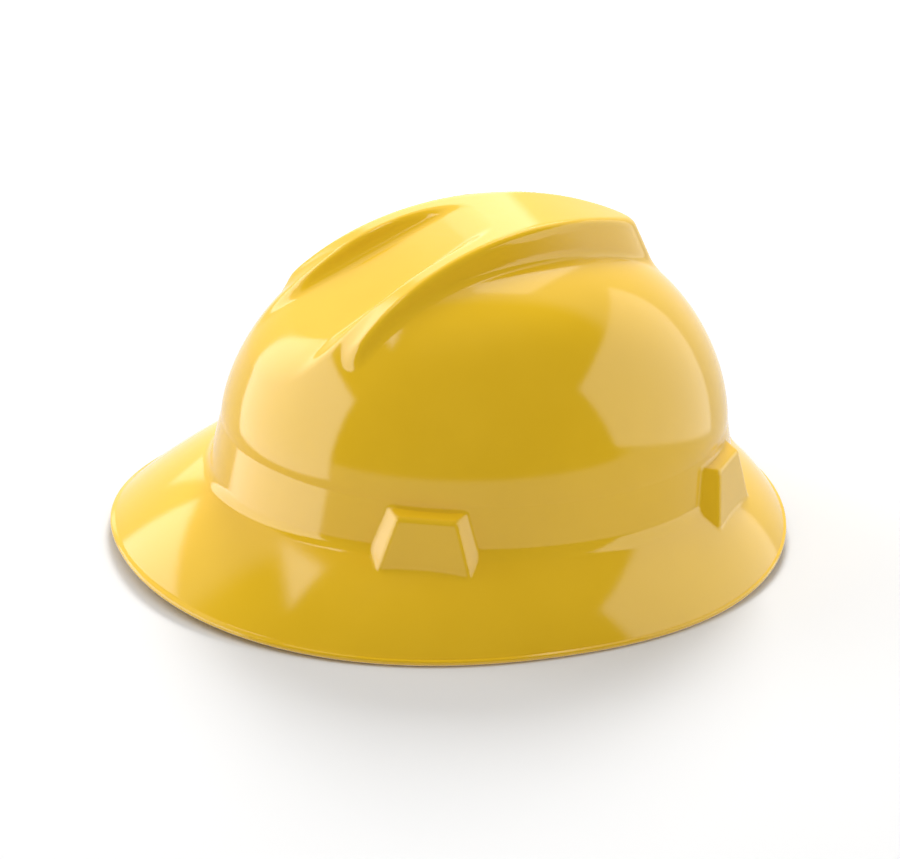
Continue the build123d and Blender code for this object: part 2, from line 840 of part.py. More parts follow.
def housing_screws():
    """Four small screws that close the housing."""
    screws = []
    for point, direction in case_screw_places():
        screw = rod(point, direction, fit_gap, case_screw_head_height, case_screw_head_radius)
        screws.append(screw + rod(point, direction, case_screw_head_height, case_screw_length, case_screw_radius))
    return screws[0] + screws[1] + screws[2] + screws[3]


def nape_pad():
    """Foam pad between the ratchet and the nape."""
    outer = plate_inner - nape_pad_gap
    half = nape_pad_half_height
    return arc_wall(
        outer - nape_pad_thickness, outer, -nape_pad_turn, nape_pad_turn, ratchet_z - half, ratchet_z + half)


def detent_spring():
    """Two armed spring on the shaft, its tips just short of the ring's notches."""
    reach = ring_inner_radius - detent_gap
    arm = Rectangle(2 * reach, spring_arm_width) & Circle(reach)
    shape = (arm + Circle(spring_hub_radius)) - Circle(shaft_radius + fit_gap)
    start = case_outer + detent_gap
    return nape_plane * slab(shape, -start - spring_thickness, -start)


def knob():
    """Scalloped adjusting knob: a skirt round the detent ring and a bore for the shaft."""
    body = rod(nape, backward, knob_start, knob_end, knob_radius)
    body = fillet(body.edges().filter_by(GeomType.CIRCLE).sort_by(Axis.Y)[-1], knob_edge_round)
    centre = knob_radius + knob_lobe_radius - knob_lobe_depth
    lobe = slab(Pos(centre, 0) * Circle(knob_lobe_radius), -knob_end - overrun, -knob_start + overrun)
    body -= [nape_plane * Rot(0, 0, 360 * step / knob_lobes) * lobe for step in range(knob_lobes)]
    body -= rod(nape, backward, knob_start - overrun, knob_floor, ring_outer_radius + knob_skirt_gap)
    body -= shaft_end(shaft_radius + fit_gap, knob_floor - overrun, screw_seat)
    body -= rod(nape, backward, screw_seat, knob_end, screw_head_radius + key_clearance)
    return body - rod(nape, backward, screw_top, knob_end + overrun, cap_radius + fit_gap)


def knob_screw():
    """Screw that holds the knob to the pinion."""
    head = rod(nape, backward, screw_seat, screw_top - key_clearance, screw_head_radius)
    return head + rod(nape, backward, screw_seat - screw_length, screw_seat, screw_radius)


def knob_cap():
    """Disc that covers the screw in the knob."""
    return rod(nape, backward, screw_top, knob_end, cap_radius)


parts = {"shell": shell}
parts |= {f"{name}_key": lambda name=name: suspension_key(name) for name in key_turns}
parts |= {name: lambda name=name: crown_strap(name) for name in strap_ends}
parts |= {"headband": headband, "sweatband": sweatband, "sweatband_studs": sweatband_studs}
parts |= {name: lambda name=name: rack_strap(name) for name in rack_side}
parts |= {
    "ratchet_housing": ratchet_housing,
    "back_plate": back_plate,
    "housing_screws": housing_screws,
    "nape_pad": nape_pad,
    "pinion": pinion,
    "detent_spring": detent_spring,
    "knob": knob,
    "knob_screw": knob_screw,
    "knob_cap": knob_cap,
}

if __name__ == "__main__":
    os.makedirs("parts", exist_ok=True)
    for name, make in parts.items():
        export_step(make(), f"parts/{name}.step")
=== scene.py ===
import json
import math

import bpy
import numpy as np
from mathutils import Matrix, Vector

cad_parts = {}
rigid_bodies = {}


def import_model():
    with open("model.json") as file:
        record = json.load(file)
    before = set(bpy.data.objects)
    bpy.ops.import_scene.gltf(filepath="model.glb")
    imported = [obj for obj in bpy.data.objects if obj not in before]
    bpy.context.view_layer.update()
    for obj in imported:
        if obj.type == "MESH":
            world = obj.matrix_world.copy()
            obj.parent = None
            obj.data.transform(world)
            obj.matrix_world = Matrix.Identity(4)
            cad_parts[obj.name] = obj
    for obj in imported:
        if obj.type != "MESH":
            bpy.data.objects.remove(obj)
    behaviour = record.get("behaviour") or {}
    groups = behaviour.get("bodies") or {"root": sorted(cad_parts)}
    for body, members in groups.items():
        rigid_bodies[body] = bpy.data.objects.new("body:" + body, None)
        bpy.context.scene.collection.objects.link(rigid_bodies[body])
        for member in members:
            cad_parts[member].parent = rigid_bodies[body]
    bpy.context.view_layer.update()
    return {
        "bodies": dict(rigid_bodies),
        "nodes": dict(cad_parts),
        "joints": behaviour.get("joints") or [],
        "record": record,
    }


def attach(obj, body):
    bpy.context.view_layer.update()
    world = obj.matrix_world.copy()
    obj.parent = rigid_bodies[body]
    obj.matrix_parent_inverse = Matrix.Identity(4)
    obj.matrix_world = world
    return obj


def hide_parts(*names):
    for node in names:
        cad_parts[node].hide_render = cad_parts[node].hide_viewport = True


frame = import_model()

scene = bpy.context.scene
scene.view_settings.view_transform = "Standard"


# Camera. It looks at the hat from its left and a little from the front and above,
# as in the photograph, with a small roll and a small shift that frame the hat.

MM = 0.001
PHOTO_WIDTH = 900
PHOTO_HEIGHT = 859
CAMERA_AZIMUTH = 67.005
CAMERA_ELEVATION = 24.251
CAMERA_ROLL = 3.219
CAMERA_DISTANCE = 1.370176
CAMERA_SCALE = 2.115
CAMERA_SENSOR = 36.0
AIM = Vector((0, 0.00625, 0.0679))
AIM_PIXEL = (469.626, 391.523)


def add_camera():
    azimuth = math.radians(CAMERA_AZIMUTH)
    elevation = math.radians(CAMERA_ELEVATION)
    roll = math.radians(CAMERA_ROLL)
    back = Vector((
        math.sin(azimuth) * math.cos(elevation),
        -math.cos(azimuth) * math.cos(elevation),
        math.sin(elevation),
    ))
    right = Vector((math.cos(azimuth), math.sin(azimuth), 0))
    up = back.cross(right)
    rolled_right = right * math.cos(roll) + up * math.sin(roll)
    rolled_up = up * math.cos(roll) - right * math.sin(roll)
    data = bpy.data.cameras.new("photo_camera")
    camera = bpy.data.objects.new("photo_camera", data)
    scene.collection.objects.link(camera)
    turn = Matrix((rolled_right, rolled_up, back)).transposed().to_4x4()
    camera.matrix_world = Matrix.Translation(AIM + back * CAMERA_DISTANCE) @ turn
    data.sensor_width = CAMERA_SENSOR
    data.lens = CAMERA_SCALE * CAMERA_DISTANCE / MM / PHOTO_WIDTH * CAMERA_SENSOR
    data.shift_x = (PHOTO_WIDTH / 2 - AIM_PIXEL[0]) / PHOTO_WIDTH
    data.shift_y = (AIM_PIXEL[1] - PHOTO_HEIGHT / 2) / PHOTO_WIDTH
    data.clip_start = 0.05
    data.clip_end = 30
    scene.camera = camera


add_camera()


# Shell. One injection-moulded piece of glossy yellow plastic: a domed crown with a raised crest
# of two arms, a drafted belt, a brim with a thin rounded rim and a tapered boss for each key.
# Its skin is found by relaxing a grid onto the surface that the formulas describe, in mm.

CROWN_Y = 15.75
CROWN_HALF_WIDTH = 105.0
CROWN_FRONT_LENGTH = 128.0
CROWN_REAR_LENGTH = 116.5
BELT_TOP_Z = 59.0
BELT_HEIGHT = 24.0
BELT_FLARE = 4.2
JUNCTION_FRONT_Z = 33.5
JUNCTION_SIDE_Z = 35.5
JUNCTION_REAR_Z = 32.5
DOME_HEIGHT = 86.5
DOME_WIDTH_POWER = 2.72
DOME_HEIGHT_POWER = 1.6
WALL = 2.5

BRIM_Y = 6.25
BRIM_HALF_WIDTH = 138.0
BRIM_FRONT_REACH = 169.5
BRIM_REAR_REACH = 157.0
BRIM_POWER = 2.14
BRIM_FRONT_LIFT = 4.5
BRIM_REAR_LIFT = 7.4
BRIM_LIFT_POWER = 4
BRIM_BULGE = 1.8
BRIM_ROOT_DEPTH = 5.5
BRIM_ROOT_LIP = 0.5
BRIM_ROOT_FILLET = 2.6
RIM_RADIUS = 1.5

CREST_TOP = 99.5
CREST_LENGTH = 124.0
CREST_Y = CROWN_Y + 15.25
CREST_HALF_WIDTH = 36.0
CREST_WIDE_Y = CROWN_Y - 81.75
CREST_NOSE_LENGTH = 145.5
CREST_POWER = 1.75
CREST_SIDE_DRAFT = math.radians(15.0)
CREST_NOSE_DRAFT = math.radians(27.0)
CREST_FRONT_Y = CREST_WIDE_Y - 6.0
CREST_FRONT_ROUND = 6.0
CREST_EDGE_ROUND = 2.6
CREST_FOOT_FILLET = 2.2
VALLEY_Y = CROWN_Y - 9.5
VALLEY_Z = 158.4
VALLEY_HALF_WIDTH = 21.0
VALLEY_SPLAY = math.radians(7.5)
VALLEY_SLOPE = math.radians(29.2)
VALLEY_WALL_DRAFT = 0.12
VALLEY_FOOT_FILLET = 8.0
VALLEY_LIP_ROUND = 2.4
VALLEY_MOUTH_ROUND = 6.0
VALLEY_MOUTH_START = 62.0
VALLEY_MOUTH_SPAN = 26.0

KEY_TURNS = {"front_left": 60.0, "front_right": -60.0, "rear_left": 138.0, "rear_right": -138.0}
BOSS_REACH = 6.0
BOSS_HEIGHT = 21.5
BOSS_FOOT_HALF_WIDTH = 24.0
BOSS_TOP_HALF_WIDTH = 16.8
BOSS_SIDE_BEVEL = 4.5
BOSS_TOP_BEVEL = 2.5
BOSS_FOOT = -2.75
BOSS_EDGE_ROUND = 1.1
BOSS_FOOT_FILLET = 0.7
BOSS_SEARCH = 42.0


def rounded_union(first, second, radius):
    """Distance to two joined bodies with a fillet between them."""
    u = np.maximum(radius - first, 0)
    v = np.maximum(radius - second, 0)
    return np.maximum(np.minimum(first, second), radius) - np.hypot(u, v)


def rounded_overlap(first, second, radius):
    """Distance to what two bodies share, with its edge rounded."""
    return -rounded_union(-first, -second, radius)


def crown_reach(across, along, inset=0.0):
    """Distance from the crown's centre to the top of the belt along a level direction."""
    length = np.where(along < 0, CROWN_FRONT_LENGTH, CROWN_REAR_LENGTH) - inset
    return 1 / np.hypot(across / (CROWN_HALF_WIDTH - inset), along / length)


def dome_distance(x, y, z, inset):
    """Distance outside the crown: a drafted belt with a dome over it."""
    along = y - CROWN_Y
    radius = np.maximum(np.hypot(x, along), 1e-6)
    reach = crown_reach(x / radius, along / radius, inset)
    share = radius / reach
    height = DOME_HEIGHT - inset
    rise = np.maximum(z - BELT_TOP_Z, 0) / height
    level = share**DOME_WIDTH_POWER + rise**DOME_HEIGHT_POWER - 1
    out = DOME_WIDTH_POWER * share**(DOME_WIDTH_POWER - 1) / reach
    up = DOME_HEIGHT_POWER * rise**(DOME_HEIGHT_POWER - 1) / height
    dome = level / np.maximum(np.hypot(out, up), 2e-3)
    flare = BELT_FLARE / BELT_HEIGHT / CROWN_HALF_WIDTH
    belt = (share - 1 - flare * (BELT_TOP_Z - z)) * reach
    return np.where(z > BELT_TOP_Z, dome, belt)


def crest_distance(x, y, z, inset):
    """Distance outside the crest, before its valley is cut."""
    fall = BELT_TOP_Z + CREST_TOP - z
    half = CREST_HALF_WIDTH + fall * math.tan(CREST_SIDE_DRAFT) - inset
    length = CREST_NOSE_LENGTH + fall * math.tan(CREST_NOSE_DRAFT) - inset
    u = np.abs(x) / half
    v = np.maximum(y - CREST_WIDE_Y, 0) / length
    share = np.maximum((u**CREST_POWER + v**CREST_POWER) ** (1 / CREST_POWER), 1e-3)
    across = (u / share) ** (CREST_POWER - 1) / half
    along = (v / share) ** (CREST_POWER - 1) / length
    up = across * u * math.tan(CREST_SIDE_DRAFT) + along * v * math.tan(CREST_NOSE_DRAFT)
    side = (share - 1) / np.maximum(np.sqrt(across**2 + along**2 + up**2), 1e-3)
    long_share = (y - CREST_Y) / (CREST_LENGTH - inset)
    high_share = (z - BELT_TOP_Z) / (CREST_TOP - inset)
    ring = np.hypot(long_share, high_share)
    slope = np.hypot(long_share / (CREST_LENGTH - inset), high_share / (CREST_TOP - inset))
    top = ring * (ring - 1) / np.maximum(slope, 1e-3)
    side = rounded_overlap(side, CREST_FRONT_Y + inset - y, CREST_FRONT_ROUND)
    return rounded_overlap(side, top, CREST_EDGE_ROUND)


def crown_distance(x, y, z, inset):
    """Distance outside the crown with its crest and the valley between the arms."""
    dome = dome_distance(x, y, z, inset)
    crest = crest_distance(x, y, z, inset)
    floor_z = VALLEY_Z - inset / math.cos(VALLEY_SLOPE) + (y - VALLEY_Y) * math.tan(VALLEY_SLOPE)
    floor = (z - floor_z) * math.cos(VALLEY_SLOPE)
    half = VALLEY_HALF_WIDTH + inset + (VALLEY_Y - y) * math.tan(VALLEY_SPLAY)
    side = half + VALLEY_WALL_DRAFT * (z - floor_z) - np.abs(x)
    keep = rounded_union(floor, side, VALLEY_FOOT_FILLET)
    mouth = np.clip((VALLEY_Y - VALLEY_MOUTH_START - y) / VALLEY_MOUTH_SPAN, 0, 1)
    lip = VALLEY_LIP_ROUND + (VALLEY_MOUTH_ROUND - VALLEY_LIP_ROUND) * mouth**2 * (3 - 2 * mouth)
    return rounded_overlap(rounded_union(dome, crest, CREST_FOOT_FILLET), keep, lip)


def junction_z(along):
    """Height where the brim leaves the belt, by the cosine of the turn from the front."""
    ends = (JUNCTION_FRONT_Z + JUNCTION_REAR_Z) / 2
    tilt = (JUNCTION_FRONT_Z - JUNCTION_REAR_Z) / 2
    return JUNCTION_SIDE_Z + tilt * along + (ends - JUNCTION_SIDE_Z) * along**2


def brim_lines(turn):
    """Level direction, foot, rim centre, chord and normal of the brim's section at each turn."""
    along, across = np.cos(turn), np.sin(turn)
    rim_along = np.sign(along) * np.abs(along) ** (2 / BRIM_POWER)
    rim_across = np.sign(across) * np.abs(across) ** (2 / BRIM_POWER)
    reach = np.where(along > 0, BRIM_FRONT_REACH, BRIM_REAR_REACH)
    out = np.stack([BRIM_HALF_WIDTH * rim_across, BRIM_Y - reach * rim_along - CROWN_Y], 1)
    length = np.hypot(out[:, 0], out[:, 1])
    direction = out / length[:, None]
    lift = np.where(along > 0, BRIM_FRONT_LIFT, BRIM_REAR_LIFT) * np.abs(along) ** BRIM_LIFT_POWER
    top = junction_z(along)
    grown = 1 + BELT_FLARE / BELT_HEIGHT / CROWN_HALF_WIDTH * (BELT_TOP_Z - top)
    foot = np.stack([crown_reach(direction[:, 0], direction[:, 1]) * grown, top], 1)
    centre = np.stack([length - RIM_RADIUS, lift + RIM_RADIUS], 1)
    chord = centre - foot
    chord /= np.hypot(chord[:, 0], chord[:, 1])[:, None]
    normal = np.stack([-chord[:, 1], chord[:, 0]], 1)
    return direction, foot, centre, chord, normal


def arc_through(start, end, normal, bulge):
    """Centre and radius of the arc that rises by a bulge over its chord."""
    half = np.hypot(*(end - start).T) / 2
    radius = (half**2 + bulge**2) / (2 * bulge)
    return (start + end) / 2 + normal * (bulge - radius)[:, None], radius


TABLE_TURNS = np.radians(np.arange(-180.0, 180.5, 0.5))
table_direction, table_foot, table_centre, _, table_normal = brim_lines(TABLE_TURNS)
table_angle = np.unwrap(np.arctan2(table_direction[:, 0], -table_direction[:, 1]))
table_arc, table_radius = arc_through(
    table_foot, table_centre + table_normal * RIM_RADIUS, table_normal, BRIM_BULGE)


def brim_distance(x, y, z):
    """Distance above the brim's upper face."""
    angle = np.arctan2(x, CROWN_Y - y)
    out = np.interp(angle, table_angle, table_arc[:, 0])
    low = np.interp(angle, table_angle, table_arc[:, 1])
    radius = np.interp(angle, table_angle, table_radius)
    return np.hypot(np.hypot(x, y - CROWN_Y) - out, z - low) - radius


def belt_frame(turn):
    """Point on the belt at the brim, with the directions along the wall, up it and outward."""
    along, across = math.cos(turn), math.sin(turn)
    z = junction_z(along)
    length = CROWN_FRONT_LENGTH if along > 0 else CROWN_REAR_LENGTH
    plan = np.array([CROWN_HALF_WIDTH * across, -length * along, 0])
    grown = 1 + BELT_FLARE / BELT_HEIGHT / CROWN_HALF_WIDTH * (BELT_TOP_Z - z)
    point = plan * grown + (0, CROWN_Y, z)
    normal = np.array([across / CROWN_HALF_WIDTH, -along / length, 0])
    normal /= np.linalg.norm(normal)
    outward = normal + (0, 0, plan @ normal * BELT_FLARE / CROWN_HALF_WIDTH / BELT_HEIGHT)
    outward /= np.linalg.norm(outward)
    wallward = np.array([-normal[1], normal[0], 0])
    return point, wallward, np.cross(outward, wallward), outward


belt_frames = [belt_frame(math.radians(turn)) for turn in KEY_TURNS.values()]


def boss_distance(x, y, z, frame):
    """Distance outside a tapered key boss."""
    point, wallward, upward, outward = frame
    steps = (x - point[0], y - point[1], z - point[2])
    across, up, out = (sum(step * part for step, part in zip(steps, axis)) for axis in frame[1:])
    taper = (BOSS_FOOT_HALF_WIDTH - BOSS_TOP_HALF_WIDTH) / (BOSS_HEIGHT - BOSS_FOOT)
    bevel = BOSS_SIDE_BEVEL / BOSS_REACH
    half = BOSS_FOOT_HALF_WIDTH - taper * (up - BOSS_FOOT) - bevel * out
    side = (np.abs(across) - half) / math.sqrt(1 + taper**2 + bevel**2)
    rise = BOSS_TOP_BEVEL / BOSS_REACH
    top = (up - BOSS_HEIGHT + rise * out) / math.hypot(1, rise)
    edge = rounded_overlap(side, top, BOSS_EDGE_ROUND)
    return rounded_overlap(edge, out - BOSS_REACH, BOSS_EDGE_ROUND)


def shell_distance(points):
    """Distance outside the shell's outer skin."""
    x, y, z = points[..., 0], points[..., 1], points[..., 2]
    skin = rounded_union(crown_distance(x, y, z, 0), brim_distance(x, y, z), BRIM_ROOT_FILLET)
    low = z < BELT_TOP_Z
    for frame in belt_frames:
        near = low & ((x - frame[0][0]) ** 2 + (y - frame[0][1]) ** 2 < BOSS_SEARCH**2)
        boss = boss_distance(x[near], y[near], z[near], frame)
        skin[near] = rounded_union(skin[near], boss, BOSS_FOOT_FILLET)
    return skin


def inner_distance(points):
    """Distance outside the hollow of the shell."""
    return crown_distance(points[..., 0], points[..., 1], points[..., 2], WALL)


PROBE = 0.02
RELAX_SHARE = 0.5


def onto_skin(points, distance, steps):
    """Points moved along the slope of a distance until they lie on its surface."""
    for _ in range(steps):
        here = distance(points)
        slope = np.stack(
            [distance(points + PROBE * np.eye(3)[axis]) - here for axis in range(3)], -1) / PROBE
        size = np.maximum((slope**2).sum(-1), 0.05)
        points = points - slope * np.clip(here / size, -4, 4)[..., None]
    return points


def relaxed(points, distance, rounds):
    """Grid of rows and closed columns, evened out while it stays on the surface."""
    for _ in range(rounds):
        beside = (np.roll(points, 1, 1) + np.roll(points, -1, 1)) / 2
        moved = points.copy()
        above = (points[:-2] + points[2:]) / 2
        moved[1:-1] += RELAX_SHARE * ((above + beside[1:-1]) / 2 - points[1:-1])
        moved[1:-1] = onto_skin(moved, distance, 1)[1:-1]
        points = moved
    return points


def finer(points, times):
    """Grid with more rows and columns between the ones that it has."""
    rows, columns = points.shape[:2]
    closed = np.concatenate([points, points[:, :1]], 1)
    at = np.arange(columns * times) / times
    wide = np.stack([
        np.stack([np.interp(at, np.arange(columns + 1), row[:, axis]) for axis in range(3)], 1)
        for row in closed])
    down = np.arange((rows - 1) * times + 1) / times
    low = np.minimum(down.astype(int), rows - 2)
    share = (down - low)[:, None, None]
    return wide[low] * (1 - share) + wide[low + 1] * share


COARSE_COLUMNS = 180
CROWN_ROWS = 38
BRIM_ROWS = 22
INNER_ROWS = 30
INNER_ROW_STEP = 2
RIM_ROWS = 8
UNDERSIDE_ROWS = 12
FINER_STEPS = ((2, 14), (2, 8))
COARSE_ROUNDS = 25
BOSS_SPAN = math.radians(17.0)
BOSS_CROWDING = 1.6
POLE_SHARE = 0.012
LIP_RISE = 0.6


def column_angles():
    """Level directions of the coarse columns, closer together at the key bosses."""
    even = np.radians(np.arange(-180.0, 180.0, 0.5))
    weight = np.ones(len(even))
    for point, *_ in belt_frames:
        boss = math.atan2(point[0], CROWN_Y - point[1])
        away = (even - boss + math.pi) % (2 * math.pi) - math.pi
        weight += BOSS_CROWDING * np.exp(-(away / BOSS_SPAN) ** 4)
    total = np.concatenate([[0], np.cumsum(weight)])
    edges = np.radians(np.arange(-180.0, 180.5, 0.5))
    return np.interp(np.arange(COARSE_COLUMNS) / COARSE_COLUMNS * total[-1], total, edges)


def finer_angles(angles, times):
    """Column directions with more between them."""
    closed = np.concatenate([angles, [angles[0] + 2 * math.pi]])
    return np.interp(np.arange(len(angles) * times) / times, np.arange(len(closed)), closed)


def lifted(angles, out, z):
    """World points at distances from the crown's centre along level directions."""
    return np.stack([out * np.sin(angles), CROWN_Y - out * np.cos(angles), z + 0 * angles], -1)


def crease(angles, inset):
    """Top line of the belt."""
    return lifted(angles, crown_reach(np.sin(angles), -np.cos(angles), inset), BELT_TOP_Z)


def crown_guess(angles, rows, inset):
    """Rows over the plain dome from its top to the belt."""
    fall = np.linspace(math.pi / 2 - POLE_SHARE, 0, rows + 1)
    share = np.cos(fall) ** (2 / DOME_WIDTH_POWER)
    rise = (DOME_HEIGHT - inset) * np.sin(fall) ** (2 / DOME_HEIGHT_POWER)
    reach = crown_reach(np.sin(angles), -np.cos(angles), inset)
    return np.stack([lifted(angles, reach * part, BELT_TOP_Z + z) for part, z in zip(share, rise)])


def brim_sections(angles):
    """Brim lines for columns given by their level directions."""
    wrapped = (angles + math.pi) % (2 * math.pi) - math.pi
    return brim_lines(np.interp(wrapped, table_angle, TABLE_TURNS))


def belt_and_brim_guess(angles, rows):
    """Rows from the top of the belt down to the brim and out to its rim."""
    _, foot, centre, _, normal = brim_sections(angles)
    start = np.stack([crown_reach(np.sin(angles), -np.cos(angles)), BELT_TOP_Z + 0 * angles], 1)
    end = centre + normal * RIM_RADIUS
    first, second = np.hypot(*(foot - start).T), np.hypot(*(end - foot).T)
    made = []
    for step in np.linspace(0, 1, rows + 1):
        along = step * (first + second)
        down = np.minimum(along / first, 1)[:, None]
        out = np.maximum((along - first) / second, 0)[:, None]
        place = start + (foot - start) * down + (end - foot) * out
        made.append(lifted(angles, place[:, 0], place[:, 1]))
    return np.stack(made)


def skin_grid(angles, guess, ends, distance):
    """Grid relaxed onto the skin from coarse to fine, its two end rows held in place."""
    def pinned(grid, angles):
        for row, end in zip((0, -1), ends):
            if end is not None:
                grid[row] = end(angles)
        return grid
    grid = pinned(onto_skin(guess, distance, 8), angles)
    grid = relaxed(grid, distance, COARSE_ROUNDS)
    for times, rounds in FINER_STEPS:
        angles = finer_angles(angles, times)
        grid = pinned(onto_skin(finer(grid, times), distance, 2), angles)
        grid = relaxed(grid, distance, rounds)
    grid[1:-1] = onto_skin(grid, distance, 3)[1:-1]
    return grid


def shell_rows():
    """All rows of the shell's skin, from the top of the crown round the rim to the inner top."""
    coarse = column_angles()
    fine = coarse
    for times, _ in FINER_STEPS:
        fine = finer_angles(fine, times)
    crown = skin_grid(
        coarse, crown_guess(coarse, CROWN_ROWS, 0), (None, lambda a: crease(a, 0)), shell_distance)
    _, foot, centre, chord, normal = brim_sections(fine)

    def rim_top(angles):
        _, _, middle, _, up = brim_sections(angles)
        place = middle + up * RIM_RADIUS
        return lifted(angles, place[:, 0], place[:, 1])

    brim = skin_grid(
        coarse, belt_and_brim_guess(coarse, BRIM_ROWS), (lambda a: crease(a, 0), rim_top),
        shell_distance)
    rim = []
    for turn in np.linspace(0, math.pi, RIM_ROWS + 1)[1:]:
        place = centre + RIM_RADIUS * (normal * math.cos(turn) + chord * math.sin(turn))
        rim.append(lifted(fine, place[:, 0], place[:, 1]))
    low = centre - normal * RIM_RADIUS
    heel = foot - (WALL + BRIM_ROOT_LIP, BRIM_ROOT_DEPTH)
    middle, radius = arc_through(low, heel, normal, BRIM_BULGE)
    under = []
    for share in np.linspace(0, 1, UNDERSIDE_ROWS + 1)[1:]:
        place = low + (heel - low) * share - middle
        place = middle + place / np.hypot(*place.T)[:, None] * radius[:, None]
        under.append(lifted(fine, place[:, 0], place[:, 1]))
    lip = foot - (WALL + BRIM_ROOT_LIP, 0)
    step = foot + (-WALL, LIP_RISE)
    wall_top = np.stack([crown_reach(np.sin(fine), -np.cos(fine), WALL), BELT_TOP_Z + 0 * fine], 1)
    inside = [lifted(fine, place[:, 0], place[:, 1]) for place in (
        (heel + lip) / 2, lip, step, (step * 2 + wall_top) / 3, (step + wall_top * 2) / 3)]
    hollow = skin_grid(
        coarse, crown_guess(coarse, INNER_ROWS, WALL), (None, lambda a: crease(a, WALL)),
        inner_distance)
    return np.concatenate([crown, brim[1:], rim, under, inside, hollow[::-INNER_ROW_STEP]])


def add_piece(name, points, faces, body, material):
    """Smooth mesh piece in metres that rides on a CAD body."""
    mesh = bpy.data.meshes.new(name)
    mesh.from_pydata(points, [], faces)
    mesh.validate()
    mesh.shade_smooth()
    mesh.materials.append(material)
    piece = bpy.data.objects.new(name, mesh)
    scene.collection.objects.link(piece)
    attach(piece, body)
    return piece


def grid_faces(rows, columns):
    """Quads of a grid whose columns close in a ring."""
    row = np.arange(rows - 1)[:, None] * columns
    here = np.arange(columns)[None, :]
    after = (here + 1) % columns
    quads = np.stack([row + here, row + columns + here, row + columns + after, row + after], -1)
    return quads.reshape(-1, 4).tolist()


def capped_grid(rows):
    """Points and faces of a closed skin: the grid with a fan at its first and its last row."""
    count, columns = rows.shape[:2]
    first, last = count * columns, count * columns + 1
    points = np.concatenate([rows.reshape(-1, 3), rows[0].mean(0)[None], rows[-1].mean(0)[None]])
    faces = grid_faces(count, columns)
    end = (count - 1) * columns
    for here in range(columns):
        after = (here + 1) % columns
        faces.append([first, here, after])
        faces.append([last, end + after, end + here])
    return points, faces


POCKET_INNER = 0.3
POCKET_DEPTH = 3.7
POCKET_HEIGHT = 15.5
POCKET_FOOT_HALF_WIDTH = 16.0
POCKET_TOP_HALF_WIDTH = 11.5
POCKET_MOUTH = 22.0


def place_at(frame, across, up, out):
    """Point at steps along the axes of a belt frame."""
    point, wallward, upward, outward = frame
    return point + wallward * across + upward * up + outward * out


def pocket_points(frame):
    """Corners of the tapered space that a key's leg fills."""
    taper = (POCKET_TOP_HALF_WIDTH - POCKET_FOOT_HALF_WIDTH) / POCKET_HEIGHT
    corners = []
    for up in (-POCKET_MOUTH, POCKET_HEIGHT):
        half = POCKET_FOOT_HALF_WIDTH + taper * up
        for across, out in ((-half, 0), (half, 0), (half, POCKET_DEPTH), (-half, POCKET_DEPTH)):
            corners.append(place_at(frame, across, up, POCKET_INNER + out))
    return corners


POCKET_FACES = ((3, 2, 1, 0), (4, 5, 6, 7), (0, 1, 5, 4), (1, 2, 6, 5), (2, 3, 7, 6), (3, 0, 4, 7))


def cut_pockets(shell):
    """Cuts the key pockets into the undersides of the bosses."""
    points, faces = [], []
    for frame in belt_frames:
        faces += [[corner + len(points) for corner in face] for face in POCKET_FACES]
        points += [corner * MM for corner in pocket_points(frame)]
    mesh = bpy.data.meshes.new("pocket_space")
    mesh.from_pydata(points, [], faces)
    space = bpy.data.objects.new("pocket_space", mesh)
    scene.collection.objects.link(space)
    cut = shell.modifiers.new("pockets", "BOOLEAN")
    cut.operation = "DIFFERENCE"
    cut.solver = "MANIFOLD"
    cut.object = space
    whole = shell.evaluated_get(bpy.context.evaluated_depsgraph_get())
    shell.data = bpy.data.meshes.new_from_object(whole)
    shell.modifiers.clear()
    bpy.data.objects.remove(space)


class Value:
    """A number socket that takes the usual signs of arithmetic."""

    def __init__(self, maker, socket):
        self.maker = maker
        self.socket = socket

    def _math(self, operation, first, second):
        return self.maker.call(operation, first, second)

    def __add__(self, other):
        return self._math("ADD", self, other)

    def __radd__(self, other):
        return self._math("ADD", other, self)

    def __sub__(self, other):
        return self._math("SUBTRACT", self, other)

    def __rsub__(self, other):
        return self._math("SUBTRACT", other, self)

    def __mul__(self, other):
        return self._math("MULTIPLY", self, other)

    def __rmul__(self, other):
        return self._math("MULTIPLY", other, self)


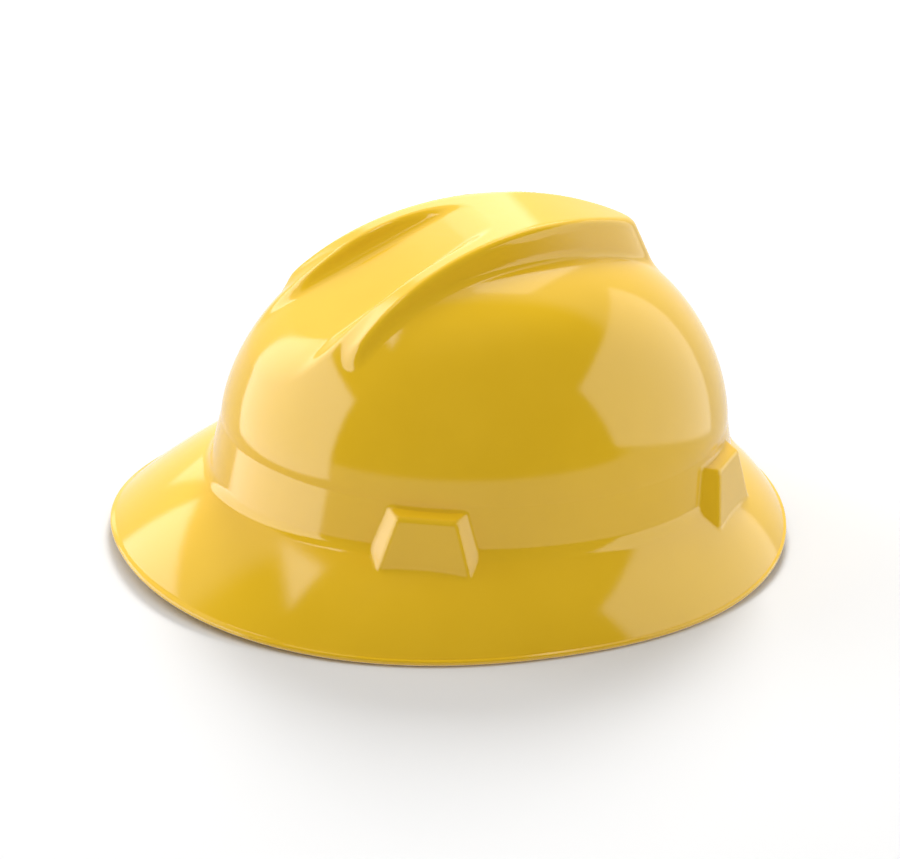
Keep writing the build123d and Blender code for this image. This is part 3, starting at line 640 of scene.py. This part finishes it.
class Maker:
    """Adds the nodes of one tree."""

    def __init__(self, tree):
        self.tree = tree

    def node(self, kind, settings, inputs):
        """A node of any type: its settings first, then the values or links of its sockets."""
        made = self.tree.nodes.new(kind)
        for key, value in settings.items():
            if key == "stops":
                ramp = made.color_ramp
                for index, (place, colour) in enumerate(value):
                    stop = ramp.elements[index] if index < 2 else ramp.elements.new(place)
                    stop.position = place
                    stop.color = (*colour, 1)
            else:
                setattr(made, key, value)
        for key, value in inputs.items():
            socket = made.inputs[key]
            if isinstance(value, Value):
                self.tree.links.new(value.socket, socket)
            elif isinstance(value, bpy.types.NodeSocket):
                self.tree.links.new(value, socket)
            else:
                socket.default_value = value
        return made

    def value(self, kind, settings, inputs, output=0):
        """A number from a node of any type."""
        return Value(self, self.node(kind, settings, inputs).outputs[output])

    def call(self, operation, *inputs):
        """A number from one kind of sum."""
        return self.value("ShaderNodeMath", {"operation": operation}, dict(enumerate(inputs)))

    def place(self):
        """Places in metres in the hat's own frame."""
        return self.node("ShaderNodeTexCoord", {}, {}).outputs["Object"]

    def noise(self, scale, detail=2.0):
        """Noise from 0 to 1 with so many cells in each metre."""
        return self.value(
            "ShaderNodeTexNoise", {"noise_dimensions": "3D"},
            {"Vector": self.place(), "Scale": scale, "Detail": detail})

    def ramp(self, factor, stops):
        """A colour from a factor."""
        return self.node("ShaderNodeValToRGB", {"stops": stops}, {"Fac": factor}).outputs["Color"]

    def colour(self, socket):
        self.tree.links.new(socket, self.shader.inputs["Base Color"])

    def roughness(self, value):
        self.tree.links.new(value.socket, self.shader.inputs["Roughness"])

    def bump(self, height, distance, strength=1.0):
        """Small relief, its depth in metres."""
        made = self.node(
            "ShaderNodeBump", {}, {"Strength": strength, "Distance": distance, "Height": height})
        self.tree.links.new(made.outputs["Normal"], self.shader.inputs["Normal"])


def paint(name, colour, roughness, **fixed):
    """A material of one shader, with the values that are the same all over it."""
    material = bpy.data.materials.new(name)
    material.use_nodes = True
    made = Maker(material.node_tree)
    made.material = material
    made.shader = made.tree.nodes["Principled BSDF"]
    material.diffuse_color = (*colour, 1)
    made.shader.inputs["Base Color"].default_value = (*colour, 1)
    made.shader.inputs["Roughness"].default_value = roughness
    for socket, value in fixed.items():
        made.shader.inputs[socket.replace("_", " ")].default_value = value
    return made


SHELL_YELLOW = (0.900, 0.552, 0.020)
SHELL_YELLOW_DEEP = (0.868, 0.528, 0.016)

shell_yellow = paint("shell_yellow", SHELL_YELLOW, 0.1)
shell_yellow.colour(shell_yellow.ramp(
    shell_yellow.noise(18.0), ((0.35, SHELL_YELLOW_DEEP), (0.65, SHELL_YELLOW))))
shell_yellow.roughness(0.07 + 0.06 * shell_yellow.noise(45.0, 3.0))
shell_yellow.bump(shell_yellow.noise(350.0, 1.0), 0.00004, 0.25)

SHARP_ANGLE = math.radians(40.0)

shell_points, shell_faces = capped_grid(shell_rows() * MM)
shell = add_piece("shell_skin", shell_points, shell_faces, "hat", shell_yellow.material)
cut_pockets(shell)
shell.data.set_sharp_from_angle(angle=SHARP_ANGLE)
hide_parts("shell")


# Suspension keys. Four moulded keys of dark plastic push up into the pockets of the bosses.
# Each one has a bar for a crown strap and a peg for the headband.

KEY_COLOUR = (0.022, 0.022, 0.024)


def moulded(name, colour, roughness, grain, depth):
    """Moulded plastic with a fine grained skin, a little uneven in colour and in gloss."""
    made = paint(name, colour, roughness)
    dark = tuple(0.8 * part for part in colour)
    made.colour(made.ramp(made.noise(55.0, 3.0), ((0.35, dark), (0.65, colour))))
    made.roughness(roughness - 0.07 + 0.14 * made.noise(30.0, 3.0))
    made.bump(made.noise(grain), depth, 0.6)
    return made.material


def finish_node(names, material):
    """Gives solids of the frame their material."""
    for name in names:
        for part in frame["nodes"][name].material_slots:
            part.material = material


key_plastic = moulded("key_plastic", KEY_COLOUR, 0.42, 1500.0, 0.00008)
finish_node([f"{name}_key" for name in KEY_TURNS], key_plastic)


# Crown straps. Two bands of woven nylon webbing cross over the head. Each one is looped round
# a key's bar at both ends and sewn back on itself, and together they carry the shell.

STRAP_ENDS = {
    "left_to_right_strap": ("front_left", "rear_right"),
    "right_to_left_strap": ("front_right", "rear_left"),
}
STRAP_LIFTS = {"left_to_right_strap": 0.0, "right_to_left_strap": 2.5}
STRAP_WIDTH = 20.0
STRAP_THICKNESS = 1.6
STRAP_APEX_Z = 112.0
BAR_Z = 54.0
BAR_INSET = 16.5
LOOP_RADIUS = 3.2
LOOP_BLEND = 16.0
TAIL_LENGTH = 32.0
TAIL_GAP = 1.75
TAIL_BLEND = 13.0
STRAP_STEP = 1.1
FALL_STEPS = 150
LOOP_STEPS = 40
TAIL_STEPS = 60
UPWARD = np.array([0, 0, 1])
STRAP_SECTION = (
    (-10.0, 0.0), (-9.85, 0.45), (-9.3, 0.78), (-8.2, 0.8), (-4.0, 0.78), (0.0, 0.76),
    (4.0, 0.78), (8.2, 0.8), (9.3, 0.78), (9.85, 0.45),
)


def smooth_step(value):
    """Rises from 0 to 1 with level ends."""
    value = np.clip(value, 0, 1)
    return value * value * (3 - 2 * value)


def even_line(points, step):
    """Line of points with the same run between them."""
    run = np.concatenate([[0], np.cumsum(np.linalg.norm(np.diff(points, axis=0), axis=1))])
    at = np.linspace(0, run[-1], int(run[-1] / step) + 1)
    return np.stack([np.interp(at, run, part) for part in points.T], 1), at


def strap_end(span, height):
    """Lower half of a strap in its plane: from its top down, round the bar and up the tail."""
    fall = np.linspace(math.pi / 2, 0, FALL_STEPS)
    up = height * np.sin(fall)
    main = span * np.cos(fall) + LOOP_RADIUS * (1 - smooth_step(up / LOOP_BLEND))
    turn = np.linspace(0, -math.pi, LOOP_STEPS)
    loop = np.stack([span + LOOP_RADIUS * np.cos(turn), LOOP_RADIUS * np.sin(turn)], 1)
    climb = np.linspace(0, TAIL_LENGTH, TAIL_STEPS)
    beside = np.interp(climb, up[::-1], main[::-1])
    gap = 2 * LOOP_RADIUS + (TAIL_GAP - 2 * LOOP_RADIUS) * smooth_step(climb / TAIL_BLEND)
    tail = np.stack([beside - gap, climb], 1)
    return np.concatenate([np.stack([main, up], 1), loop[1:], tail[1:]])


def bar_point(frame):
    """Middle of a key's strap bar."""
    point, _, upward, outward = frame
    up = (BAR_Z - point[2] + BAR_INSET * outward[2]) / upward[2]
    return place_at(frame, 0, up, -BAR_INSET)


def strap_plane(name):
    """Origin, run and width directions of a strap's plane, and its two spans."""
    start, end = (
        bar_point(belt_frame(math.radians(KEY_TURNS[key]))) for key in STRAP_ENDS[name])
    share = start[0] / (start[0] - end[0])
    middle = start + (end - start) * share
    flat = (end - start) * (1, 1, 0)
    length = np.linalg.norm(flat)
    run = flat / length
    return middle, run, np.array([run[1], -run[0], 0]), length * share, length * (1 - share)


def swept_strip(line, normal, width, section):
    """Points and faces of a closed strip with one section along a line."""
    points = np.stack([line + width * across + normal * out for across, out in section], 1)
    count, sides = points.shape[:2]
    faces = grid_faces(count, sides)
    faces.append(list(range(sides)))
    faces.append([(count - 1) * sides + side for side in reversed(range(sides))])
    return points.reshape(-1, 3), faces


def lay_map(piece, along, across):
    """Stores the place along and across the cloth, in metres, for the weave."""
    layer = piece.data.uv_layers.new(name="weave")
    corner = np.zeros(len(piece.data.loops), np.int32)
    piece.data.loops.foreach_get("vertex_index", corner)
    places = np.stack([along[corner], across[corner]], 1).astype(np.float32)
    layer.uv.foreach_set("vector", places.ravel())


WEBBING_COLOUR = (0.050, 0.050, 0.054)
# Colour painted into the low places of the weave as shade.
WEBBING_GROOVE_SHADE = (0.018, 0.018, 0.020)
WARP_PITCH = 0.0010
WEFT_PITCH = 0.0017


def webbing_material():
    """Woven nylon: rows of warp that pass over and under the weft in steps, with painted shade in the
    low places of the weave.
    """
    made = paint("webbing_nylon", WEBBING_COLOUR, 0.62, Sheen_Weight=0.25, Sheen_Roughness=0.4)
    cloth = made.node("ShaderNodeUVMap", {"uv_map": "weave"}, {}).outputs["UV"]
    apart = made.node("ShaderNodeSeparateXYZ", {}, {"Vector": cloth})
    along, across = (Value(made, apart.outputs[name]) for name in "XY")
    row = across * (1 / WARP_PITCH)
    ridge = made.call("ABSOLUTE", made.call("SINE", row * math.pi))
    step = made.call("FLOOR", row) * 0.5
    over = 0.5 + 0.5 * made.call("SINE", (along * (1 / WEFT_PITCH) + step) * (2 * math.pi))
    height = ridge * (0.45 + 0.55 * over)
    # Painted shade: darker where the weave lies low, between the warp rows and where they pass under,
    # with a random tone from noise.
    groove_shade_and_tone = height * (0.8 + 0.4 * made.noise(900.0))
    made.colour(made.ramp(groove_shade_and_tone, ((0.1, WEBBING_GROOVE_SHADE), (0.7, WEBBING_COLOUR))))
    made.bump(height, 0.0004, 0.8)
    return made.material


THREAD_COLOUR = (0.32, 0.32, 0.33)
STITCH_LENGTH = 2.3
STITCH_STEP = 3.0
STITCH_WIDTH = 0.6
STITCH_HEIGHT = 0.5
STITCH_SIDES = 6
STITCH_RINGS = ((-0.5, 0.35), (-0.3, 0.9), (0.3, 0.9), (0.5, 0.35))
BOX_HALF_WIDTH = 7.0
BOX_LOW = 11.0
BOX_HIGH = 29.0


def stitch_mesh(places):
    """Points and faces of short rounded stitches, each with its place, run and outward side."""
    turns = np.radians(np.arange(STITCH_SIDES) * 360 / STITCH_SIDES)
    points, faces = [], []
    for middle, run, out in places:
        side = np.cross(run, out)
        first = len(points)
        for share, size in STITCH_RINGS:
            for turn in turns:
                round_it = side * math.cos(turn) * STITCH_WIDTH + out * math.sin(turn) * STITCH_HEIGHT
                points.append(middle + run * share * STITCH_LENGTH + round_it * size / 2)
        for ring in range(len(STITCH_RINGS) - 1):
            for here in range(STITCH_SIDES):
                after = (here + 1) % STITCH_SIDES
                low = first + ring * STITCH_SIDES
                high = low + STITCH_SIDES
                faces.append([low + here, high + here, high + after, low + after])
        last = first + (len(STITCH_RINGS) - 1) * STITCH_SIDES
        faces.append([first + here for here in range(STITCH_SIDES)])
        faces.append([last + here for here in reversed(range(STITCH_SIDES))])
    return points, faces


def box_stitches():
    """Places and runs, across and up the tail, of a sewn box with a cross in it."""
    corners = [
        (-1, BOX_LOW), (1, BOX_LOW), (1, BOX_HIGH), (-1, BOX_HIGH), (-1, BOX_LOW), (1, BOX_HIGH)]
    lines = list(zip(corners, corners[1:])) + [((-1, BOX_HIGH), (1, BOX_LOW))]
    for (start_side, start_up), (end_side, end_up) in lines:
        start = np.array([start_side * BOX_HALF_WIDTH, start_up])
        run = np.array([end_side * BOX_HALF_WIDTH, end_up]) - start
        length = np.linalg.norm(run)
        count = int(length / STITCH_STEP)
        for step in range(count):
            yield start + run * (step + 0.5) / count, run / length


def seam_places(span, sign, height, middle, run, width):
    """Places, runs and outward sides of the stitches on both faces of one end of a strap."""
    end = strap_end(span, height) * (sign, 1)
    main, tail = end[:FALL_STEPS], end[-TAIL_STEPS:]
    for (across, up), (run_across, run_up) in box_stitches():
        for side, face in ((main[::-1], sign), (tail, -sign)):
            x, above, below = (np.interp(at, side[:, 1], side[:, 0]) for at in (up, up + 0.5, up - 0.5))
            slope = above - below
            rise = (run * slope + UPWARD) / np.linalg.norm([slope, 0, 1.0])
            out = np.cross(rise, width)
            out *= face * np.sign(out @ run)
            place = middle + run * x + UPWARD * up + width * across + out * STRAP_THICKNESS / 2
            yield place, width * run_across + rise * run_up, out


webbing = webbing_material()
thread = moulded("sewing_thread", THREAD_COLOUR, 0.6, 4000.0, 0.0001)

for name in STRAP_ENDS:
    middle, run, width, front_span, rear_span = strap_plane(name)
    height = STRAP_APEX_Z + STRAP_LIFTS[name] - BAR_Z
    rear = strap_end(rear_span, height)
    front = strap_end(front_span, height) * (-1, 1)
    flat_line, lengths = even_line(np.concatenate([rear[::-1], front[1:]]), STRAP_STEP)
    way = np.gradient(flat_line, axis=0)
    way /= np.linalg.norm(way, axis=1)[:, None]
    line = middle + flat_line[:, :1] * run + flat_line[:, 1:] * UPWARD
    normal = way[:, 1:] * run - way[:, :1] * UPWARD
    ring = [*STRAP_SECTION, (STRAP_WIDTH / 2, 0.0)]
    ring += [(across, -out) for across, out in reversed(STRAP_SECTION[1:])]
    points, faces = swept_strip(line, normal, width, ring)
    strap = add_piece(f"{name}_webbing", points * MM, faces, "hat", webbing)
    ring_across = np.tile([across for across, _ in ring], len(line))
    lay_map(strap, np.repeat(lengths, len(ring)) * MM, ring_across * MM)
    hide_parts(name)
    seams = [
        *seam_places(rear_span, 1, height, middle, run, width),
        *seam_places(front_span, -1, height, middle, run, width),
    ]
    points, faces = stitch_mesh(seams)
    seam = add_piece(f"{name}_stitches", np.array(points) * MM, faces, "hat", thread)


# Headband. A moulded strip of dark plastic round the head, hung on the pegs of the keys, with a
# loop each side that guides a toothed strap of the same plastic to the ratchet at the nape.

BAND_COLOUR = (0.030, 0.030, 0.033)
RACK_COLOUR = (0.026, 0.026, 0.028)

finish_node(["headband"], moulded("headband_plastic", BAND_COLOUR, 0.38, 1100.0, 0.00006))
rack_plastic = moulded("rack_plastic", RACK_COLOUR, 0.34, 1800.0, 0.00005)
finish_node(["left_rack_strap", "right_rack_strap"], rack_plastic)


# Sweatband. A foam strip under a soft knit cover, sewn all round its edge and pushed onto the
# inside of the headband's front with three plastic studs.

HEAD_Y = CROWN_Y + 10.5
BAND_RADIUS = 75.0
BAND_FRONT_LENGTH = 117.0
SWEATBAND_OUTER = -1.4
SWEATBAND_THICKNESS = 4.0
SWEATBAND_Z = 30.0
SWEATBAND_HALF_HEIGHT = 15.0
SWEATBAND_TURN = math.radians(40.0)
STUD_TURNS = (-30.0, 0.0, 30.0)
PAD_CORNER = 6.0
PAD_EDGE = 1.6
PAD_CROWN_RUN = 3.2
PAD_SEAM_INSET = 2.8
PAD_SEAM_WIDTH = 0.7
PAD_SEAM_DEPTH = 0.7
PAD_DIMPLE_WIDTH = 5.0
PAD_DIMPLE_DEPTH = 1.0
PAD_ROWS = 41
PAD_COLUMNS = 201
PAD_END_CROWDING = 1.3
PAD_EDGE_RUN = 1.2
PAD_CROWN_POWER = 1.5
PAD_LEAST = 0.05


def corner_depth(along, up, half_length, half_height):
    """Depth inside the edge of a rounded oblong."""
    x = np.abs(along) - (half_length - PAD_CORNER)
    y = np.abs(up) - (half_height - PAD_CORNER)
    outside = np.hypot(np.maximum(x, 0), np.maximum(y, 0))
    return PAD_CORNER - outside - np.minimum(np.maximum(x, y), 0)


def pad_grid(half_length, half_height, thickness, dimples):
    """Places along and up a pad, with the thickness of its foam at each."""
    rows = half_height * np.sin(np.linspace(-1, 1, PAD_ROWS) * math.pi / 2)
    over = np.maximum(np.abs(rows) - (half_height - PAD_CORNER), 0)
    limit = half_length - PAD_CORNER + np.sqrt(np.maximum(PAD_CORNER**2 - over**2, 0.02))
    ends = np.linspace(-1, 1, PAD_COLUMNS)
    ends = np.sign(ends) * (1 - (1 - np.abs(ends)) ** PAD_END_CROWDING)
    along = ends[None, :] * limit[:, None]
    up = np.repeat(rows[:, None], len(ends), 1)
    depth = np.maximum(corner_depth(along, up, half_length, half_height), 0)
    foam = PAD_EDGE * np.sqrt(1 - (1 - np.minimum(depth / PAD_EDGE_RUN, 1)) ** 2)
    foam += (thickness - PAD_EDGE) * (1 - np.exp(-((depth / PAD_CROWN_RUN) ** PAD_CROWN_POWER)))
    foam -= PAD_SEAM_DEPTH * np.exp(-(((depth - PAD_SEAM_INSET) / PAD_SEAM_WIDTH) ** 2))
    for place in dimples:
        foam -= PAD_DIMPLE_DEPTH * np.exp(-(((along - place) ** 2 + up**2) / PAD_DIMPLE_WIDTH**2))
    return along, up, np.maximum(foam, PAD_LEAST)


def pad_piece(name, bend, half_length, half_height, thickness, dimples, material):
    """Crowned foam pad bent onto a curve, its flat side outward."""
    along, up, foam = pad_grid(half_length, half_height, thickness, dimples)
    back = bend(along, up, np.zeros_like(foam))
    front = bend(along, up, foam)
    rows, columns = foam.shape
    points = np.concatenate([front.reshape(-1, 3), back.reshape(-1, 3)])
    here = (np.arange(rows - 1)[:, None] * columns + np.arange(columns - 1)).ravel()
    quads = np.stack([here, here + 1, here + columns + 1, here + columns], 1)
    faces = quads.tolist() + (quads[:, ::-1] + rows * columns).tolist()
    edge = list(range(columns)) + [columns - 1 + row * columns for row in range(1, rows)]
    edge += [(rows - 1) * columns + column for column in reversed(range(columns - 1))]
    edge += [row * columns for row in reversed(range(1, rows - 1))]
    for first, second in zip(edge, edge[1:] + edge[:1]):
        faces.append([second, first, first + rows * columns, second + rows * columns])
    piece = add_piece(name, points * MM, faces, "hat", material)
    lay_map(piece, np.tile(along.ravel(), 2) * MM, np.tile(up.ravel(), 2) * MM)
    return piece


KNIT_COLOUR = (0.030, 0.030, 0.034)
# Colour painted into the low places of the knit as shade.
KNIT_GROOVE_SHADE = (0.010, 0.010, 0.011)
KNIT_WIDTH = 0.0011
KNIT_HEIGHT = 0.0009
STUD_COLOUR = (0.040, 0.040, 0.043)


def knit_material(name):
    """Soft knit: rows of small V loops, with a matt, slightly furry surface and painted shade in the
    low places of the loops.
    """
    made = paint(name, KNIT_COLOUR, 0.9, Sheen_Weight=0.35, Sheen_Roughness=0.5)
    cloth = made.node("ShaderNodeUVMap", {"uv_map": "weave"}, {}).outputs["UV"]
    apart = made.node("ShaderNodeSeparateXYZ", {}, {"Vector": cloth})
    along, up = (Value(made, apart.outputs[axis]) for axis in "XY")
    column = made.call("PINGPONG", along * (1 / KNIT_WIDTH), 0.5) * 2
    leg = made.call("ABSOLUTE", made.call("SINE", (up * (1 / KNIT_HEIGHT) + column * 0.5) * math.pi))
    groove = made.call("SINE", column * math.pi)
    height = leg * (0.4 + 0.6 * groove)
    # Painted shade: darker where the knit lies low, between the loops and down their grooves, with a
    # random tone from noise.
    groove_shade_and_tone = height * (0.75 + 0.5 * made.noise(700.0))
    made.colour(made.ramp(groove_shade_and_tone, ((0.1, KNIT_GROOVE_SHADE), (0.8, KNIT_COLOUR))))
    made.bump(height, 0.00035, 0.8)
    return made.material


def front_bend(along, up, inward):
    """Place on the inside of the headband's front, by the run from its middle."""
    radius = BAND_RADIUS + SWEATBAND_OUTER - inward
    length = BAND_FRONT_LENGTH + SWEATBAND_OUTER - inward
    turn = np.interp(along, sweat_run, sweat_turn)
    reach = 1 / np.hypot(np.sin(turn) / radius, np.cos(turn) / length)
    return np.stack([reach * np.sin(turn), HEAD_Y - reach * np.cos(turn), SWEATBAND_Z + up], -1)


sweat_turn = np.linspace(-SWEATBAND_TURN, SWEATBAND_TURN, PAD_COLUMNS)
sweat_reach = 1 / np.hypot(
    np.sin(sweat_turn) / (BAND_RADIUS + SWEATBAND_OUTER),
    np.cos(sweat_turn) / (BAND_FRONT_LENGTH + SWEATBAND_OUTER))
sweat_places = np.stack([sweat_reach * np.sin(sweat_turn), sweat_reach * np.cos(sweat_turn)], 1)
sweat_run = np.concatenate([[0], np.cumsum(np.hypot(*np.diff(sweat_places, axis=0).T))])
sweat_run -= sweat_run[-1] / 2
stud_runs = np.interp(np.radians(STUD_TURNS), sweat_turn, sweat_run)
knit = knit_material("pad_knit")
sweatband = pad_piece(
    "sweatband_pad", front_bend, sweat_run[-1], SWEATBAND_HALF_HEIGHT, SWEATBAND_THICKNESS,
    stud_runs, knit)
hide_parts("sweatband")
finish_node(["sweatband_studs"], moulded("stud_plastic", STUD_COLOUR, 0.35, 1500.0, 0.00005))


# Ratchet at the nape. A curved case and its back plate, closed with four small screws, hold the
# two toothed straps in mesh with a pinion, and a foam pad keeps the plate off the nape.

NAPE_Z = 24.0
NAPE_PAD_RADIUS = 73.6
NAPE_PAD_TURN = math.radians(24.0)
NAPE_PAD_HALF_HEIGHT = 14.0
NAPE_PAD_THICKNESS = 4.0
CASE_COLOUR = (0.024, 0.024, 0.026)
STEEL_COLOUR = (0.60, 0.60, 0.61)


def rear_bend(along, up, inward):
    """Place on the inside of the back plate, by the run from its middle."""
    turn = along / NAPE_PAD_RADIUS
    radius = NAPE_PAD_RADIUS - inward
    return np.stack([-radius * np.sin(turn), HEAD_Y + radius * np.cos(turn), NAPE_Z + up], -1)


nape_pad = pad_piece(
    "nape_foam", rear_bend, NAPE_PAD_RADIUS * NAPE_PAD_TURN, NAPE_PAD_HALF_HEIGHT,
    NAPE_PAD_THICKNESS, (), knit)
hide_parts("nape_pad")


def steel(name, colour, roughness):
    """Zinc plated steel with a faint uneven bloom."""
    made = paint(name, colour, roughness, Metallic=1.0)
    dark = tuple(0.82 * part for part in colour)
    made.colour(made.ramp(made.noise(260.0, 3.0), ((0.3, dark), (0.7, colour))))
    made.roughness(roughness - 0.1 + 0.2 * made.noise(400.0, 3.0))
    made.bump(made.noise(1600.0), 0.00003, 0.5)
    return made.material


case_plastic = moulded("case_plastic", CASE_COLOUR, 0.36, 1300.0, 0.00007)
finish_node(["ratchet_housing", "back_plate"], case_plastic)
finish_node(["housing_screws", "knob_screw"], steel("zinc_steel", STEEL_COLOUR, 0.34))


# Knob and gear. The knob is keyed to the pinion's flatted shaft and held by a screw under a cap.
# A two armed spring on the shaft clicks along the notches of the case's ring.

ACETAL_COLOUR = (0.62, 0.60, 0.54)
SPRING_COLOUR = (0.50, 0.49, 0.45)
KNOB_COLOUR = (0.018, 0.018, 0.020)
CAP_COLOUR = (0.022, 0.022, 0.024)

finish_node(["pinion"], moulded("acetal", ACETAL_COLOUR, 0.33, 900.0, 0.00004))
finish_node(["detent_spring"], moulded("spring_plastic", SPRING_COLOUR, 0.36, 900.0, 0.00004))
finish_node(["knob"], moulded("knob_plastic", KNOB_COLOUR, 0.5, 1700.0, 0.00012))
finish_node(["knob_cap"], moulded("cap_plastic", CAP_COLOUR, 0.28, 1500.0, 0.00005))


# Studio. A pale floor and a white surround with four soft lamps. The gloss shows none of the lamps,
# but five bright panels and a dark side behind the camera, which the world holds for it alone.

FLOOR_SIZE = 14.0
FLOOR_DROP = 0.0003
FLOOR_WHITE = 0.79
AMBIENT = 0.47
SURROUND = 1.0
DARK_LEVEL = 0.05
DARK_SIDE = (73, 40)
DARK_OUTER = math.radians(74)
DARK_INNER = math.radians(62)
HORIZON_BLEND = 0.03
PANEL_EDGE = 0.035
FRONT_PANEL = ((-50, -14), (18, -12), (16, 33), (-76, 29))
FRONT_PANEL_GLOW = 4.0
REAR_PANEL = ((132, 6), (-166, -15), (-149, 38), (125, 36))
REAR_PANEL_GLOW = 2.3
HIGH_PANEL = ((-57, 57), (6, 61), (-18, 69), (-22, 69))
HIGH_PANEL_GLOW = 3.8
BACK_PANEL = ((-113, 6), (-82, 14), (-82, 40), (-113, 40))
BACK_PANEL_GLOW = 2.4
TOP_PANEL = ((-131, 34), (-112, 34), (-112, 66), (-139, 63))
TOP_PANEL_GLOW = 2.6
LAMP_AIM = Vector((0, 0, 0.05))


def facing_out(azimuth, elevation):
    """Direction from the hat, the azimuth from its front toward the wearer's left."""
    azimuth, elevation = math.radians(azimuth), math.radians(elevation)
    return Vector((
        math.sin(azimuth) * math.cos(elevation),
        -math.cos(azimuth) * math.cos(elevation),
        math.sin(elevation),
    ))


def seen_directly(made):
    """1 for rays that show the surround: from the camera, in gloss and through clear parts."""
    path = made.node("ShaderNodeLightPath", {}, {})
    names = ("Is Camera Ray", "Is Glossy Ray", "Is Transmission Ray")
    rays = [Value(made, path.outputs[name]) for name in names]
    return made.call("MINIMUM", rays[0] + rays[1] + rays[2], 1.0)


half = FLOOR_SIZE / 2
floor_mesh = bpy.data.meshes.new("floor")
floor_corners = [(-half, -half, 0), (half, -half, 0), (half, half, 0), (-half, half, 0)]
floor_mesh.from_pydata(floor_corners, [], [(0, 1, 2, 3)])
floor = bpy.data.objects.new("floor", floor_mesh)
floor.location.z = -FLOOR_DROP
floor.visible_glossy = False
scene.collection.objects.link(floor)

floor_paint = paint("floor_white", (FLOOR_WHITE,) * 3, 0.9, Specular_IOR_Level=0.0)
floor_mesh.materials.append(floor_paint.material)

world = bpy.data.worlds.new("studio")
scene.world = world
world.use_nodes = True
sky = Maker(world.node_tree)
toward = sky.node("ShaderNodeTexCoord", {}, {}).outputs["Generated"]


def ramp_along(direction, low, high):
    """Rises from 0 to 1 as a ray turns toward a direction."""
    facing = sky.value(
        "ShaderNodeVectorMath", {"operation": "DOT_PRODUCT"}, {0: toward, 1: direction}, "Value")
    return sky.value("ShaderNodeMapRange", {"interpolation_type": "SMOOTHSTEP"}, {
        "Value": facing, "From Min": low, "From Max": high})


def panel(corners, edge):
    """1 inside a panel with straight edges, seen at its corners' azimuths and elevations."""
    directions = [facing_out(*corner) for corner in corners]
    inside = 1.0
    for first, second in zip(directions, directions[1:] + directions[:1]):
        side = first.cross(second).normalized()
        inside = ramp_along(side, -edge / 2, edge / 2) * inside
    return inside


in_gloss = Value(sky, sky.node("ShaderNodeLightPath", {}, {}).outputs["Is Glossy Ray"])
dark = ramp_along(facing_out(*DARK_SIDE), math.cos(DARK_OUTER), math.cos(DARK_INNER))
dark = dark * ramp_along(Vector((0, 0, 1)), -HORIZON_BLEND, HORIZON_BLEND)
gloss = SURROUND - (SURROUND - DARK_LEVEL) * dark
for corners, strength in (
        (FRONT_PANEL, FRONT_PANEL_GLOW), (REAR_PANEL, REAR_PANEL_GLOW), (HIGH_PANEL, HIGH_PANEL_GLOW),
        (BACK_PANEL, BACK_PANEL_GLOW), (TOP_PANEL, TOP_PANEL_GLOW)):
    gloss = gloss + (strength - gloss) * panel(corners, PANEL_EDGE)
level = AMBIENT + (SURROUND - AMBIENT) * seen_directly(sky)
level = level + (gloss - level) * in_gloss
background = world.node_tree.nodes["Background"]
background.inputs["Color"].default_value = (1, 1, 1, 1)
sky.tree.links.new(level.socket, background.inputs["Strength"])


def soft_lamp(name, azimuth, elevation, distance, width, radiance):
    """Square lamp over the floor that faces the hat and lights its surfaces, not its gloss."""
    lamp = bpy.data.lights.new(name, "AREA")
    lamp.shape = "SQUARE"
    lamp.size = width
    lamp.energy = radiance * math.pi * width**2
    box = bpy.data.objects.new(name, lamp)
    toward_lamp = facing_out(azimuth, elevation)
    box.location = LAMP_AIM + toward_lamp * distance
    box.rotation_mode = "QUATERNION"
    box.rotation_quaternion = toward_lamp.to_track_quat("Z", "Y")
    box.visible_camera = False
    box.visible_glossy = False
    scene.collection.objects.link(box)


soft_lamp("back_lamp", -115, 41, 3.0, 1.1, 20.5)
soft_lamp("top_lamp", 0, 85, 2.0, 1.3, 1.3)
soft_lamp("front_lamp", -35, 32, 1.8, 1.2, 2.5)
soft_lamp("rear_lamp", 165, 35, 1.8, 1.0, 1.3)
